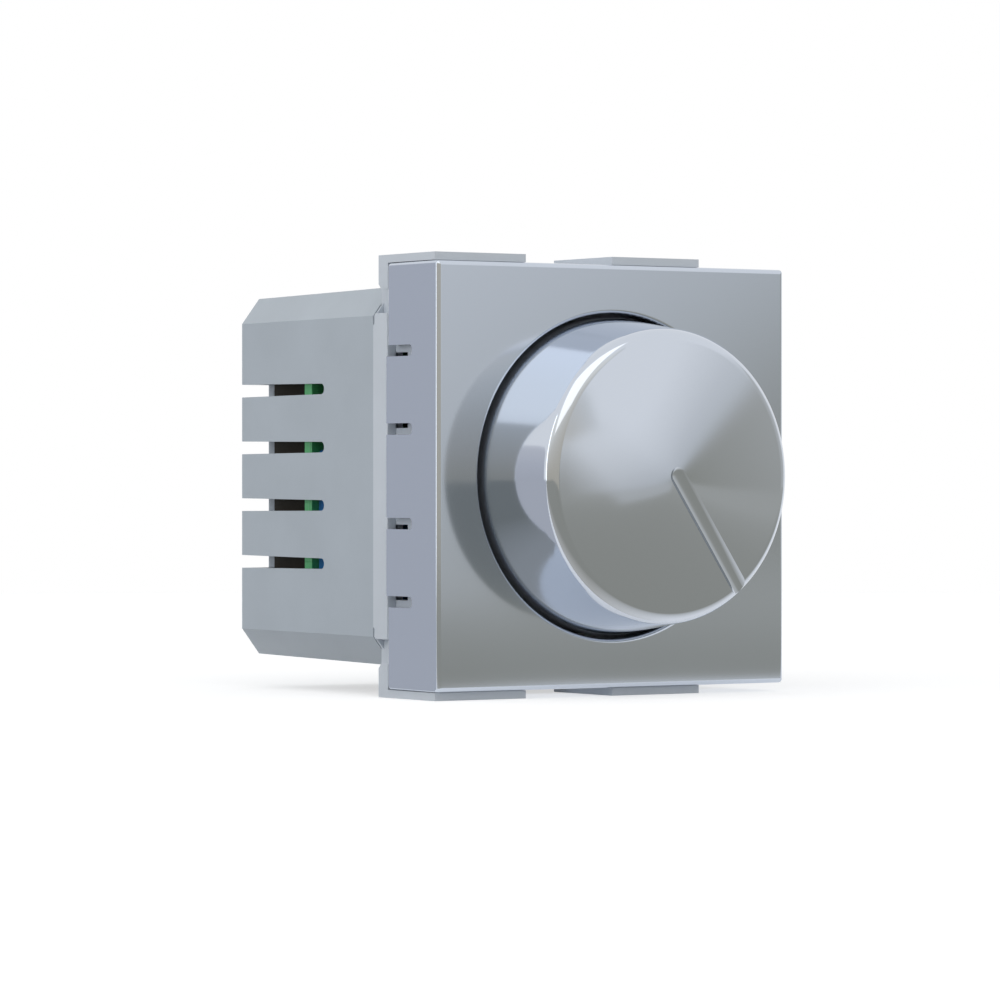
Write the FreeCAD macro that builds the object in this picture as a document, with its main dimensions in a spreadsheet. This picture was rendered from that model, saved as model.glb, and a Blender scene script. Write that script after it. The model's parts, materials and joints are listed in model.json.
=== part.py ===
import FreeCAD, Part
import math
import os
import Sketcher

# Rotary dimmer module, two modules wide. Origin: centre of the square front face, on the knob's
# axis. +X right as the user sees it, +Y into the wall, +Z up. Millimetres and degrees.

# Front plate: a square cover with a skirt, split at the sides into snap tongues
plateWide = 45.0
plateDeep = 9.9
plateFront = 2.0  # thickness of the front wall
plateSkirt = 1.4
plateEdge = 0.5
plateCorner = 0.35
plateRearCorner = 0.6
plateRim = 5.2  # least width of the face beside the knob hole
holeEdge = 0.45
tongueHigh = 9.1  # middle of a tongue above or below the axis
tongueWide = 7.05
slitHigh = 1.2
slitLong = 5.0
slitRound = 0.42  # share of a slit's height
hookProud = 0.9
hookThick = 1.1
hookWide = 6.0
hookBack = 0.35
hookRoot = 0.2

# Carrier: the ring behind the plate, with the four tabs that hold the module in its frame
coverGap = 0.15
carrierGap = 0.2
carrierWall = 1.4
wellDeep = 5.4
webThick = 2.2
flangeBack = 2.9  # flange behind the plate's rear edge
flangeThick = 0.5
flangeLip = 0.25
cornerGroove = 0.8
tabWide = 11.4
tabInset = 0.3
tabFront = 0.9
tabShort = 0.9
tabRise = 0.9
tabRoot = 1.15
tabBevel = 0.55
tabGap = 0.05
windowPlay = 0.35
windowPast = 1.1
windowSide = 1.0
rampDeep = 0.6
legWide = 5.0
legAcross = 12.0
legThick = 1.1
legLong = 6.2
legRoot = 0.5
legTooth = 1.1
legGap = 0.1
toothLong = 1.6

# Rear housing: octagonal shell with moulding draft, vents at both sides and terminals below
sideInset = 0.5  # housing's side inside the plate's
topInset = 2.35
cornerAcross = 2.4
cornerHigh = 3.1
housingLong = 28.0
housingWall = 1.2
rearWall = 1.5
draftDeg = 0.85
innerCorner = 0.35
lipLong = 1.4
lipThick = 1.0
lipCorner = 0.3
wellCorner = 0.5
ventCount = 4
ventPitch = 6.3
ventLong = 17.8
ventThin = 1.15
ventThick = 1.42
ventWrap = 3.45
latchPlay = 0.4
accessRadius = 2.2
entryRadius = 1.9
entryFlare = 0.5

# Knob, pushed on the shaft and held by a clip round its boss
pushTravel = 1.5
knobGap = 0.45
knobFace = 11.62
knobDrop = 1.3  # the face is a low cone
knobLean = 1.49
knobRear = 3.4
knobEdge = 1.8
knobWall = 1.5
knobRoof = 1.8
tipThinner = 0.25
roofFall = 0.6
bossWall = 1.6
bossRear = 1.8
ribThick = 1.0
ribRear = -3.5
ribRoot = 0.2
ribCount = 6
pointerDeg = 143.0
grooveWide = 2.05
grooveDeep = 0.45
groovePast = 0.6
socketDeep = 0.3
clipThick = 0.6
clipWide = 1.4
clipBack = 1.1
clipMouth = 5.2

# Shaft
fitGap = 0.05
shaftRadius = 3.0
shaftProud = 7.5
shaftFlat = 1.5  # from the axis
flatShort = 0.6
stepGap = 0.1
stemRadius = 2.2
stemFlat = 1.6
stemPast = 0.45
ringThick = 0.6
ringWall = 1.6
ringGap = 0.05
ringMouth = 2.4

# Dial behind the web: threaded bushing, case with end stop, rotor and track
bushWall = 0.5
bushPast = 0.8
bushPlate = 1.2
nutFlats = 10.0
nutThick = 2.0
washerThick = 0.6
washerRadius = 5.2
caseWide = 17.0
caseDeep = 4.0
caseWall = 1.1
trackThick = 1.0
trackGap = 1.2
stopDeep = 1.4
rotorGap = 0.6
rimGap = 0.25
lugGap = 0.2
lugDeg = 20.0
stopDeg = 52.0
stopSlackDeg = 1.0
leafRoom = 0.6
leafThick = 0.25
leafInset = 0.6
leafHole = 1.0
tipInset = 1.7
tipHigh = 1.0
tipRadius = 0.45

# Boards and the header between them
boardThick = 1.5
boardSide = 0.3
boardTop = 0.65
boardCorner = 3.0
boardHoleGap = 0.15
controlThick = 1.2
controlSide = 6.5
controlFoot = 3.3
controlGap = 2.6
stemHole = 0.5
leadPitch = 2.54
leadRadius = 0.3
solderLong = 0.8
headerPins = 5
headerInset = 1.9
headerLow = -6.4
headerWide = 2.5
pinRadius = 0.35

# Push switch on the main board
canGap = 0.3
canHalf = 4.2
canWall = 0.9
canBore = 3.3
plungerRadius = 1.8
collarGap = 0.2
collarThick = 1.2
springInset = 0.8
springWire = 0.44
springPitch = 1.1
springSteps = 12

# Terminal block, which fills the rear of the housing below the vents
blockLong = 8.6
blockSide = 3.7
blockGap = 1.05
blockCeiling = 5.15  # block's top below the housing's
blockWall = 4.1
blockCorner = 2.6
postLong = 1.5
postRadius = 1.2
postInset = 1.9
postDrop = 3.0
terminalCount = 3
screwShift = 0.4
cavityWall = 0.9
cavityPlay = 0.6
headInset = 0.6
headRadius = 2.4
headHigh = 2.0
headPlay = 0.1
headSide = 0.2
ledgeThick = 0.8
threadRadius = 1.5
slotWide = 0.7
slotDeep = 0.9
cageHalf = 2.9
cageSideGap = 0.3
cageLong = 5.6
cageFall = 3.5
cageHigh = 7.1
cageSide = 0.7
cageRoof = 0.8
cageNut = 1.6
barPlay = 0.3
barThick = 0.8
barHalf = 2.0
barSeat = 0.4
barPin = 1.2
barEnter = 0.1
barGap = 0.1
barInset = 0.4
barRoot = 0.2

# Components on the main board, placed from its edges
capInset = 0.9
capWide = 5.2
capFoot = 4.2
capHigh = 17.0
capDeep = 10.6
capEdge = 0.5
chokeInset = 6.8
coreOuter = 5.3
coreInner = 2.6
coreThick = 4.2
wireThick = 0.9
wireHalf = 0.27
turnCount = 18
windFromDeg = 20.0
windOverDeg = 320.0
sinkHalfWide = 9.0
sinkGap = 0.25
sinkThick = 1.2
sinkPast = 0.6
triacHalfWide = 3.9
triacThick = 2.8
triacLong = 10.8
triacStand = 2.0
triacHoleBack = 3.8
triacBore = 1.6
triacScrew = 1.5
triacHead = 2.6
triacHeadHigh = 1.8
legSlotWide = 0.7
legSlotHigh = 0.5
leadHole = 0.6
fuseInset = 8.8
fuseHigh = 7.3
fuseRadius = 4.1
fuseTall = 6.0
discInset = 1.0
discHigh = 6.0
discThick = 3.4
discRadius = 4.4
discLegs = 4.0
discPitch = 5.0
filmPast = 4.5  # from the header, as for the resistors
filmHigh = -11.0
filmWide = 7.2
filmThick = 2.6
filmTall = 6.0
resistorRadius = 1.15
resistorLong = 6.0
resistorPast = 3.8
resistorHigh = 7.0
resistorPitch = 2.5
resistorCount = 3
diacRadius = 0.95
diacLong = 4.0
diacAcross = 1.4
diacHigh = 8.0

# How far cutting shapes reach past what they cut
beyond = 1.0


class Size:
    """A length that carries both its value and the sheet formula that gives it."""

    def __init__(self, value, text):
        self.value = float(value)
        self.text = text

    def __add__(self, other):
        other = sized(other)
        return Size(self.value + other.value, f"({self.text} + {other.text})")

    def __sub__(self, other):
        other = sized(other)
        return Size(self.value - other.value, f"({self.text} - {other.text})")

    def __mul__(self, other):
        other = sized(other)
        return Size(self.value * other.value, f"({self.text} * {other.text})")

    def __truediv__(self, other):
        other = sized(other)
        return Size(self.value / other.value, f"({self.text} / {other.text})")

    def __neg__(self):
        return Size(-self.value, f"(-1 * {self.text})")

    def __radd__(self, other):
        return sized(other) + self

    def __rsub__(self, other):
        return sized(other) - self

    def __rmul__(self, other):
        return sized(other) * self


def sized(number):
    return number if isinstance(number, Size) else Size(number, f"{float(number):g}")


class Sizes:
    """Each attribute is a cell of the sheet, or a formula of cells."""


doc = FreeCAD.newDocument("RotaryDimmer")
sheet = doc.addObject("Spreadsheet::Sheet", "Sizes")
given = {alias: value for alias, value in vars().items() if type(value) in (int, float)}
size = Sizes()
for row, (alias, value) in enumerate(given.items(), 1):
    sheet.set(f"A{row}", alias)
    sheet.set(f"B{row}", f"{value:g}")
    sheet.setAlias(f"B{row}", alias)
    setattr(size, alias, Size(value, f"Sizes.{alias}"))
doc.recompute()

# Widths and heights that follow from the sheet
half = size.plateWide / 2
skirtInside = half - size.plateSkirt
carrierHalf = skirtInside - size.coverGap
housingHalfWide = half - size.sideInset
housingHalfHigh = half - size.topInset
lipHalfWide = housingHalfWide - size.housingWall - size.legGap
lipHalfHigh = housingHalfHigh - size.housingWall - size.legGap
boardHalfWide = housingHalfWide - size.housingWall - size.boardSide
boardHalfHigh = housingHalfHigh - size.housingWall - size.boardTop
holeRadius = half - size.plateRim
knobBase = holeRadius - size.knobGap
knobTip = knobBase - size.knobLean
bossRadius = size.shaftRadius + size.bossWall
bushRadius = size.shaftRadius + size.bushWall
caseBore = size.caseWide / 2 - size.caseWall
rotorRadius = caseBore - size.stopDeep

# Depths behind the front face
carrierFront = size.plateFront + size.carrierGap
webFront = carrierFront + size.wellDeep
webRear = webFront + size.webThick
flangeFront = size.plateDeep + size.flangeBack
flangeRear = flangeFront + size.flangeThick
housingRear = flangeRear + size.housingLong
blockRear = housingRear - size.rearWall
blockFront = blockRear - size.blockLong
boardRear = blockFront - size.postLong
boardFront = boardRear - size.boardThick
caseFront = webRear + size.bushPlate
trackFront = caseFront + size.caseDeep
controlFront = trackFront + size.trackThick
controlRear = controlFront + size.controlThick
rotorFront = caseFront + size.rotorGap
rotorRear = trackFront - size.leafRoom
shaftFront = -size.shaftProud
shaftStep = rotorFront - size.pushTravel - size.stepGap
shaftRear = controlRear + size.ringGap + size.ringThick + size.stemPast
canFront = shaftRear + size.pushTravel + size.canGap

# Control board, header and heat sink
sinkLow = lipHalfHigh - size.lipThick - size.sinkGap - size.sinkThick
leadHigh = sinkLow - size.triacThick / 2
controlHalfWide = boardHalfWide - size.controlSide
controlLow = size.controlFoot - boardHalfHigh
controlTop = sinkLow - size.triacThick - size.controlGap
headerAcross = size.headerInset - controlHalfWide

# Terminals, from the housing's bottom wall up
blockHalfWide = housingHalfWide - size.blockSide
blockLow = size.housingWall + size.blockGap - housingHalfHigh
blockTop = housingHalfHigh - size.blockCeiling
cavityHalf = size.cageHalf + size.cageSideGap
terminalPitch = (blockHalfWide - cavityHalf - size.blockWall) * 2 / (size.terminalCount - 1)
headLow = blockLow + size.headInset
ledgeLow = headLow + size.headHigh + size.headPlay
ledgeTop = ledgeLow + size.ledgeThick
cageLow = ledgeTop + size.cageFall
cageTop = cageLow + size.cageHigh
barLow = cageLow + size.cageNut + size.barPlay
barTop = barLow + size.barThick
entryHigh = barTop + size.fitGap + size.entryRadius
cavityRear = blockRear - size.cavityWall
screwDeep = (blockFront + cavityRear) / 2 + size.screwShift

pieces = []


def keep(feature, label):
    """Register a finished piece under the name of its node."""
    feature.Label = label
    pieces.append((label, feature))
    return feature


def tie(feature, **formulas):
    """Set properties of a feature and bind them to the sheet."""
    for name, formula in formulas.items():
        formula = sized(formula)
        setattr(feature, name, formula.value)
        feature.setExpression(name, formula.text)
    return feature


# Sketches: every corner is dimensioned from the origin

def plane(body, role):
    return next(part for part in body.Origin.OriginFeatures if part.Role == role)


def newSketch(body, role, offset, name):
    sketch = body.newObject("Sketcher::SketchObject", name)
    sketch.AttachmentSupport = (plane(body, role), [""])
    sketch.MapMode = "FlatFace"
    offset = sized(offset)
    sketch.AttachmentOffset = FreeCAD.Placement(FreeCAD.Vector(0, 0, offset.value), FreeCAD.Rotation())
    sketch.setExpression("AttachmentOffset.Base.z", offset.text)
    return sketch


def across(body, depth, name):
    """Sketch parallel to the front face, at a depth behind it; sketch x, y are X, Z."""
    return newSketch(body, "XZ_Plane", -sized(depth), name)


def sideways(body, offset, name):
    """Sketch seen from the right side; sketch x, y are Y, Z."""
    return newSketch(body, "YZ_Plane", offset, name)


def fixPoint(sketch, geometry, corner, x, y):
    index = sketch.addConstraint(Sketcher.Constraint("DistanceX", -1, 1, geometry, corner, x.value))
    sketch.setExpression(f"Constraints[{index}]", x.text)
    index = sketch.addConstraint(Sketcher.Constraint("DistanceY", -1, 1, geometry, corner, y.value))
    sketch.setExpression(f"Constraints[{index}]", y.text)


def polygon(sketch, points):
    points = [(sized(x), sized(y)) for x, y in points]
    first = sketch.GeometryCount
    count = len(points)
    for index in range(count):
        start, end = points[index], points[(index + 1) % count]
        sketch.addGeometry(Part.LineSegment(FreeCAD.Vector(start[0].value, start[1].value, 0),
                                            FreeCAD.Vector(end[0].value, end[1].value, 0)))
    for index in range(count):
        following = first + (index + 1) % count
        sketch.addConstraint(Sketcher.Constraint("Coincident", first + index, 2, following, 1))
    for index, (x, y) in enumerate(points):
        fixPoint(sketch, first + index, 1, x, y)
    return sketch


def rectangle(sketch, left, right, low, high):
    return polygon(sketch, [(left, low), (right, low), (right, high), (left, high)])


def circle(sketch, x, y, radius):
    x, y, radius = sized(x), sized(y), sized(radius)
    index = sketch.addGeometry(Part.Circle(FreeCAD.Vector(x.value, y.value, 0),
                                           FreeCAD.Vector(0, 0, 1), radius.value))
    fixPoint(sketch, index, 3, x, y)
    bound = sketch.addConstraint(Sketcher.Constraint("Radius", index, radius.value))
    sketch.setExpression(f"Constraints[{bound}]", radius.text)
    return sketch


def octagon(sketch, halfWide, halfHigh, cutAcross, cutHigh):
    inX, inZ = halfWide - cutAcross, halfHigh - cutHigh
    return polygon(sketch, [(-halfWide, -inZ), (-inX, -halfHigh), (inX, -halfHigh), (halfWide, -inZ),
                            (halfWide, inZ), (inX, halfHigh), (-inX, halfHigh), (-halfWide, inZ)])


def ventOutline(sketch, centre, rear, middle):
    """Vent in Y, Z: it widens from the middle of its round front end to the open rear."""
    thin, thick = size.ventThin / 2, size.ventThick / 2
    return polygon(sketch, [(rear, middle + thick), (centre, middle + thin), (centre, middle - thin),
                            (rear, middle - thick)])


def pad(body, sketch, length, name, inward=True, taper=None):
    """Pad of a sketch; inward pads of a front-parallel sketch grow towards +Y."""
    feature = body.newObject("PartDesign::Pad", name)
    feature.Profile = sketch
    feature.Reversed = inward
    tie(feature, Length=length)
    if taper is not None:
        tie(feature, TaperAngle=taper)
    doc.recompute()
    return feature


def pocket(body, sketch, length, name, flip=False, taper=None, both=False):
    """Pocket of a sketch; by default it cuts against the sketch's normal."""
    feature = body.newObject("PartDesign::Pocket", name)
    feature.Profile = sketch
    feature.Reversed = flip
    if both:
        feature.SideType = "Symmetric"
    tie(feature, Length=length)
    if taper is not None:
        tie(feature, TaperAngle=taper)
    doc.recompute()
    return feature


def revolve(body, sketch, name, kind="PartDesign::Revolution"):
    feature = body.newObject(kind, name)
    feature.Profile = sketch
    feature.ReferenceAxis = (sketch, ["V_Axis"])
    feature.Angle = 360
    doc.recompute()
    return feature


def edgeNames(feature, test):
    names = []
    for index, edge in enumerate(feature.Shape.Edges):
        if test(edge):
            names.append(f"Edge{index + 1}")
    return names


def dress(body, base, kind, amount, names, name):
    """Fillet or chamfer of the named edges."""
    feature = body.newObject(f"PartDesign::{kind}", name)
    feature.Base = (base, names)
    tie(feature, **{"Radius" if kind == "Fillet" else "Size": amount})
    doc.recompute()
    return feature


def mirror(body, originals, role, name):
    feature = body.newObject("PartDesign::Mirrored", name)
    feature.Originals = originals
    feature.MirrorPlane = (plane(body, role), [""])
    body.Tip = feature
    doc.recompute()
    return feature


def repeat(body, originals, role, pitch, count, name):
    """Linear pattern along an origin axis; the pitch and the count come from the sheet."""
    feature = body.newObject("PartDesign::LinearPattern", name)
    feature.Originals = originals
    feature.Direction = (plane(body, role), [""])
    count = sized(count)
    feature.Occurrences = round(count.value)
    feature.setExpression("Occurrences", count.text)
    tie(feature, Length=pitch * (count - 1))
    body.Tip = feature
    doc.recompute()
    return feature


def newBody(label):
    return keep(doc.addObject("PartDesign::Body", label), label)


# Solids made of primitives

def place(feature, x, y, z):
    for axis, value in zip("xyz", (x, y, z)):
        value = sized(value)
        feature.setExpression(f"Placement.Base.{axis}", value.text)
    return feature


def block(name, left, right, front, rear, low, high):
    feature = doc.addObject("Part::Box", name)
    left, right, front, rear, low, high = (sized(v) for v in (left, right, front, rear, low, high))
    tie(feature, Length=right - left, Width=rear - front, Height=high - low)
    return place(feature, left, front, low)


def rodY(name, x, z, radius, front, rear):
    """Round rod along Y from one depth to another."""
    feature = doc.addObject("Part::Cylinder", name)
    front, rear = sized(front), sized(rear)
    tie(feature, Radius=radius, Height=rear - front)
    feature.Placement = FreeCAD.Placement(FreeCAD.Vector(), FreeCAD.Rotation(FreeCAD.Vector(1, 0, 0), -90))
    return place(feature, x, front, z)


def rodZ(name, x, y, radius, low, high):
    feature = doc.addObject("Part::Cylinder", name)
    low, high = sized(low), sized(high)
    tie(feature, Radius=radius, Height=high - low)
    return place(feature, x, y, low)


def rodX(name, y, z, radius, left, right):
    feature = doc.addObject("Part::Cylinder", name)
    left, right = sized(left), sized(right)
    tie(feature, Radius=radius, Height=right - left)
    feature.Placement = FreeCAD.Placement(FreeCAD.Vector(), FreeCAD.Rotation(FreeCAD.Vector(0, 1, 0), 90))
    return place(feature, left, y, z)


def cut(name, base, tools):
    """Base without its tools; several tools are fused first."""
    feature = doc.addObject("Part::Cut", name)
    feature.Base = base
    feature.Tool = tools[0] if len(tools) == 1 else fuse(name + "Tools", tools)
    doc.recompute()
    return feature


def fuse(name, shapes):
    feature = doc.addObject("Part::MultiFuse", name)
    feature.Shapes = shapes
    doc.recompute()
    return feature


def group(name, shapes):
    """Several separate solids kept as one node."""
    feature = doc.addObject("Part::Compound", name)
    feature.Links = shapes
    doc.recompute()
    return feature


def cornerCut(extra):
    """Width and height of the octagon's corner cut, made larger by extra along its width."""
    return size.cornerAcross + extra, size.cornerHigh + extra * (size.cornerHigh / size.cornerAcross)


def frontPlate():
    body = newBody("front_plate")
    face = rectangle(across(body, 0, "PlateFace"), -half, half, -half, half)
    pad(body, face, size.plateDeep, "PlateBlock")
    inside = rectangle(across(body, size.plateFront, "PlateInside"), -skirtInside, skirtInside,
                       -skirtInside, skirtInside)
    pocket(body, inside, size.plateDeep - size.plateFront, "PlateHollow")
    hole = circle(across(body, 0, "KnobHoleCircle"), 0, 0, holeRadius)
    pocket(body, hole, size.plateFront, "KnobHole")
    slits = sideways(body, 0, "SlitOutlines")
    for side in (-1, 1):
        for edge in (-1, 1):
            middle = side * (size.tongueHigh + edge * ((size.tongueWide + size.slitHigh) / 2))
            rectangle(slits, size.plateDeep - size.slitLong, size.plateDeep + size.beyond,
                      middle - size.slitHigh / 2, middle + size.slitHigh / 2)
    slit = pocket(body, slits, size.plateWide + 2 * size.beyond, "TongueSlits", both=True)
    slitFront = (size.plateDeep - size.slitLong).value
    ends = edgeNames(slit, lambda edge: isAlong(edge, 0) and abs(edge.CenterOfMass.y - slitFront) < 1e-4)
    dress(body, slit, "Fillet", size.slitHigh * size.slitRound, ends, "SlitEnds")
    hooks = across(body, size.plateDeep - size.hookBack - size.hookThick, "HookOutlines")
    for side in (-1, 1):
        for end in (-1, 1):
            wall = end * skirtInside
            tip = end * (skirtInside - size.hookProud)
            low = side * size.tongueHigh - size.hookWide / 2
            left, right = (tip, wall + size.hookRoot) if end > 0 else (wall - size.hookRoot, tip)
            rectangle(hooks, left, right, low, low + size.hookWide)
    grown = pad(body, hooks, size.hookThick, "TongueHooks")
    corners = edgeNames(grown, lambda edge: isAlong(edge, 1) and edge.Length > size.plateDeep.value - 0.01
                        and abs(abs(edge.CenterOfMass.x) - half.value) < 1e-4)
    grown = dress(body, grown, "Fillet", size.plateCorner, corners, "SideCorners")
    rear = edgeNames(grown, lambda edge: isAlong(edge, 0)
                     and abs(edge.CenterOfMass.y - size.plateDeep.value) < 1e-4
                     and abs(abs(edge.CenterOfMass.z) - half.value) < 1e-4)
    grown = dress(body, grown, "Fillet", size.plateRearCorner, rear, "RearCorners")
    rim = edgeNames(grown, lambda edge: abs(edge.CenterOfMass.y) < 1e-4 and edge.BoundBox.YLength < 1e-4
                    and not onCircle(edge, holeRadius.value))
    grown = dress(body, grown, "Fillet", size.plateEdge, rim, "FrontEdge")
    mouth = edgeNames(grown, lambda edge: abs(edge.CenterOfMass.y) < 1e-4
                      and onCircle(edge, holeRadius.value))
    dress(body, grown, "Fillet", size.holeEdge, mouth, "KnobHoleEdge")


def isAlong(edge, axis):
    """True for a straight edge along X, Y or Z."""
    box = (edge.BoundBox.XLength, edge.BoundBox.YLength, edge.BoundBox.ZLength)
    return box[axis] > 1e-3 and all(box[other] < 1e-3 for other in range(3) if other != axis)


def onCircle(edge, radius):
    """True for a full circle of this radius, by its length."""
    return abs(edge.Length - 2 * math.pi * radius) < 1e-3


def tabProfile(sketch, sign):
    """Outline of a tab in Y, Z: an arm over the plate with a foot behind its rear edge."""
    arm = half + size.tabGap
    top = half + size.tabRise
    foot = carrierHalf - size.tabRoot
    heel = size.plateDeep + size.coverGap
    rear = flangeFront - size.tabShort
    points = [(size.tabFront, arm), (size.tabFront, top), (rear, top), (rear, foot + size.tabBevel),
              (rear - size.tabBevel, foot), (heel, foot), (heel, arm)]
    return polygon(sketch, [(y, sign * z) for y, z in points])


def carrier():
    body = newBody("carrier_frame")
    ring = rectangle(across(body, carrierFront, "RingOutline"), -carrierHalf, carrierHalf,
                     -carrierHalf, carrierHalf)
    pad(body, ring, flangeRear - carrierFront, "Ring")
    carrierFlange(body)
    tabLeft = size.tabInset - half
    for sign, name in ((1, "Upper"), (-1, "Lower")):
        profile = tabProfile(sideways(body, tabLeft, name + "TabProfile"), sign)
        tab = pad(body, profile, size.tabWide, name + "Tab", inward=False)
        repeat(body, [tab], "X_Axis", half, 2, name + "TabPair")
    wellHalf = carrierHalf - size.carrierWall
    well = rectangle(across(body, carrierFront, "FrontWell"), -wellHalf, wellHalf, -wellHalf, wellHalf)
    pocket(body, well, size.wellDeep, "FrontHollow")
    rear = octagon(across(body, webRear, "RearWell"), lipHalfWide - size.lipThick,
                   lipHalfHigh - size.lipThick, *cornerCut(size.wellCorner))
    pocket(body, rear, flangeRear + size.lipLong + size.beyond - webRear, "RearHollow")
    bore = circle(across(body, webFront, "BushingHoleCircle"), 0, 0, bushRadius + size.fitGap)
    pocket(body, bore, size.webThick, "BushingHole")
    tongueWindows(body)
    for sign, name in ((1, "Upper"), (-1, "Lower")):
        latchLegs(body, sign, name)


def carrierFlange(body):
    """Flange against the housing, with a groove behind its lip at the corners, and the lip inside."""
    face = octagon(across(body, flangeFront, "FlangeOutline"), housingHalfWide, housingHalfHigh, *cornerCut(0))
    pad(body, face, size.flangeLip, "FlangeFace")
    neck = octagon(across(body, flangeFront + size.flangeLip, "FlangeNeckOutline"), housingHalfWide,
                   housingHalfHigh, *cornerCut(size.cornerGroove))
    pad(body, neck, size.flangeThick - size.flangeLip, "FlangeNeck")
    lip = octagon(across(body, flangeRear, "LipOutline"), lipHalfWide, lipHalfHigh, *cornerCut(size.lipCorner))
    pad(body, lip, size.lipLong, "Lip")


def tongueWindows(body):
    """Windows for the hooks of the plate's tongues, and the shallow ramps behind them."""
    ramps = sideways(body, carrierHalf, "RampOutline")
    windows = sideways(body, carrierHalf, "WindowOutline")
    windowFront = size.plateDeep - size.hookBack - size.hookThick - size.windowPlay
    windowRear = size.plateDeep + size.windowPast
    windowHalf = size.hookWide / 2 + size.windowSide
    rampHalf = (size.tongueWide + size.coverGap) / 2 + size.slitHigh
    for side in (-1, 1):
        middle = side * size.tongueHigh
        rectangle(windows, windowFront, windowRear, middle - windowHalf, middle + windowHalf)
        rectangle(ramps, windowRear, flangeFront, middle - rampHalf, middle + rampHalf)
    window = pocket(body, windows, size.carrierWall + size.beyond, "Windows")
    ramp = pocket(body, ramps, size.rampDeep, "Ramps")
    mirror(body, [window, ramp], "YZ_Plane", "LeftWindows")


def latchLegs(body, sign, name):
    """Two legs, above or below, whose teeth latch in the housing's windows."""
    profile = sideways(body, size.legAcross - size.legWide / 2, name + "LegProfile")
    front = webRear + size.legRoot
    rear = flangeRear + size.legLong
    low = lipHalfHigh - size.legThick
    high = lipHalfHigh + size.legTooth
    points = [(front, low), (front, lipHalfHigh), (rear - size.toothLong, lipHalfHigh),
              (rear - size.toothLong, high), (rear - size.toothLong / 2, high),
              (rear, lipHalfHigh - size.legThick / 2), (rear, low)]
    polygon(profile, [(y, sign * z) for y, z in points])
    leg = pad(body, profile, size.legWide, name + "Leg", inward=False)
    mirror(body, [leg], "YZ_Plane", name + "LegPair")


def rearHousing():
    body = newBody("rear_housing")
    outer = octagon(across(body, flangeRear, "HousingOutline"), housingHalfWide, housingHalfHigh, *cornerCut(0))
    pad(body, outer, size.housingLong, "HousingBlock", taper=-size.draftDeg)
    inner = octagon(across(body, flangeRear, "HousingInside"), housingHalfWide - size.housingWall,
                    housingHalfHigh - size.housingWall, *cornerCut(-size.innerCorner))
    pocket(body, inner, size.housingLong - size.rearWall, "HousingHollow", taper=-size.draftDeg)
    draft = size.housingLong.value * math.tan(math.radians(size.draftDeg.value))
    bottom = housingHalfWide - draft - size.ventWrap
    for sign, name in ((1, "Right"), (-1, "Left")):
        ventRow(body, sign * bottom, name, sign > 0)
    latch = newSketch(body, "XY_Plane", 0, "LatchWindows")
    latchRear = flangeRear + size.legLong
    for sign in (-1, 1):
        middle = sign * size.legAcross
        reach = size.legWide / 2 + size.legGap
        rectangle(latch, middle - reach, middle + reach, latchRear - size.toothLong - size.legGap,
                  latchRear + size.latchPlay)
    pocket(body, latch, 2 * (housingHalfHigh + size.beyond), "Latches", both=True)
    entries = across(body, blockRear, "WireEntryCircles")
    access = newSketch(body, "XY_Plane", -housingHalfHigh - size.beyond, "ScrewAccessCircles")
    for position in terminalPlaces():
        circle(entries, position, entryHigh, size.entryRadius)
        circle(access, position, screwDeep, size.accessRadius)
    entry = pocket(body, entries, size.rearWall, "WireEntries")
    flare = edgeNames(entry, lambda edge: onCircle(edge, size.entryRadius.value)
                      and abs(edge.CenterOfMass.y - housingRear.value) < 1e-4)
    dress(body, entry, "Chamfer", size.entryFlare, flare, "WireEntryFlares")
    pocket(body, access, size.housingWall + size.blockGap + size.beyond, "ScrewAccess", flip=True)


def ventRow(body, bottom, name, flip):
    """Vents in one side wall that run on into the rear wall; bottom is the X where they end."""
    centre = housingRear - size.ventLong + size.ventThin / 2
    lowest = -size.ventPitch * (size.ventCount - 1) / 2
    slots = sideways(body, bottom, name + "VentOutline")
    ventOutline(slots, centre, housingRear + size.beyond, lowest)
    slot = pocket(body, slots, size.ventWrap + size.beyond, name + "Vent", flip=flip)
    ends = circle(sideways(body, bottom, name + "VentEndCircle"), centre, lowest, size.ventThin / 2)
    end = pocket(body, ends, size.ventWrap + size.beyond, name + "VentEnd", flip=flip)
    repeat(body, [slot, end], "Z_Axis", size.ventPitch, size.ventCount, name + "VentRow")


def terminalPlaces():
    """X of each terminal, from the left."""
    count = round(size.terminalCount.value)
    return [terminalPitch * (index - (count - 1) / 2) for index in range(count)]


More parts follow.
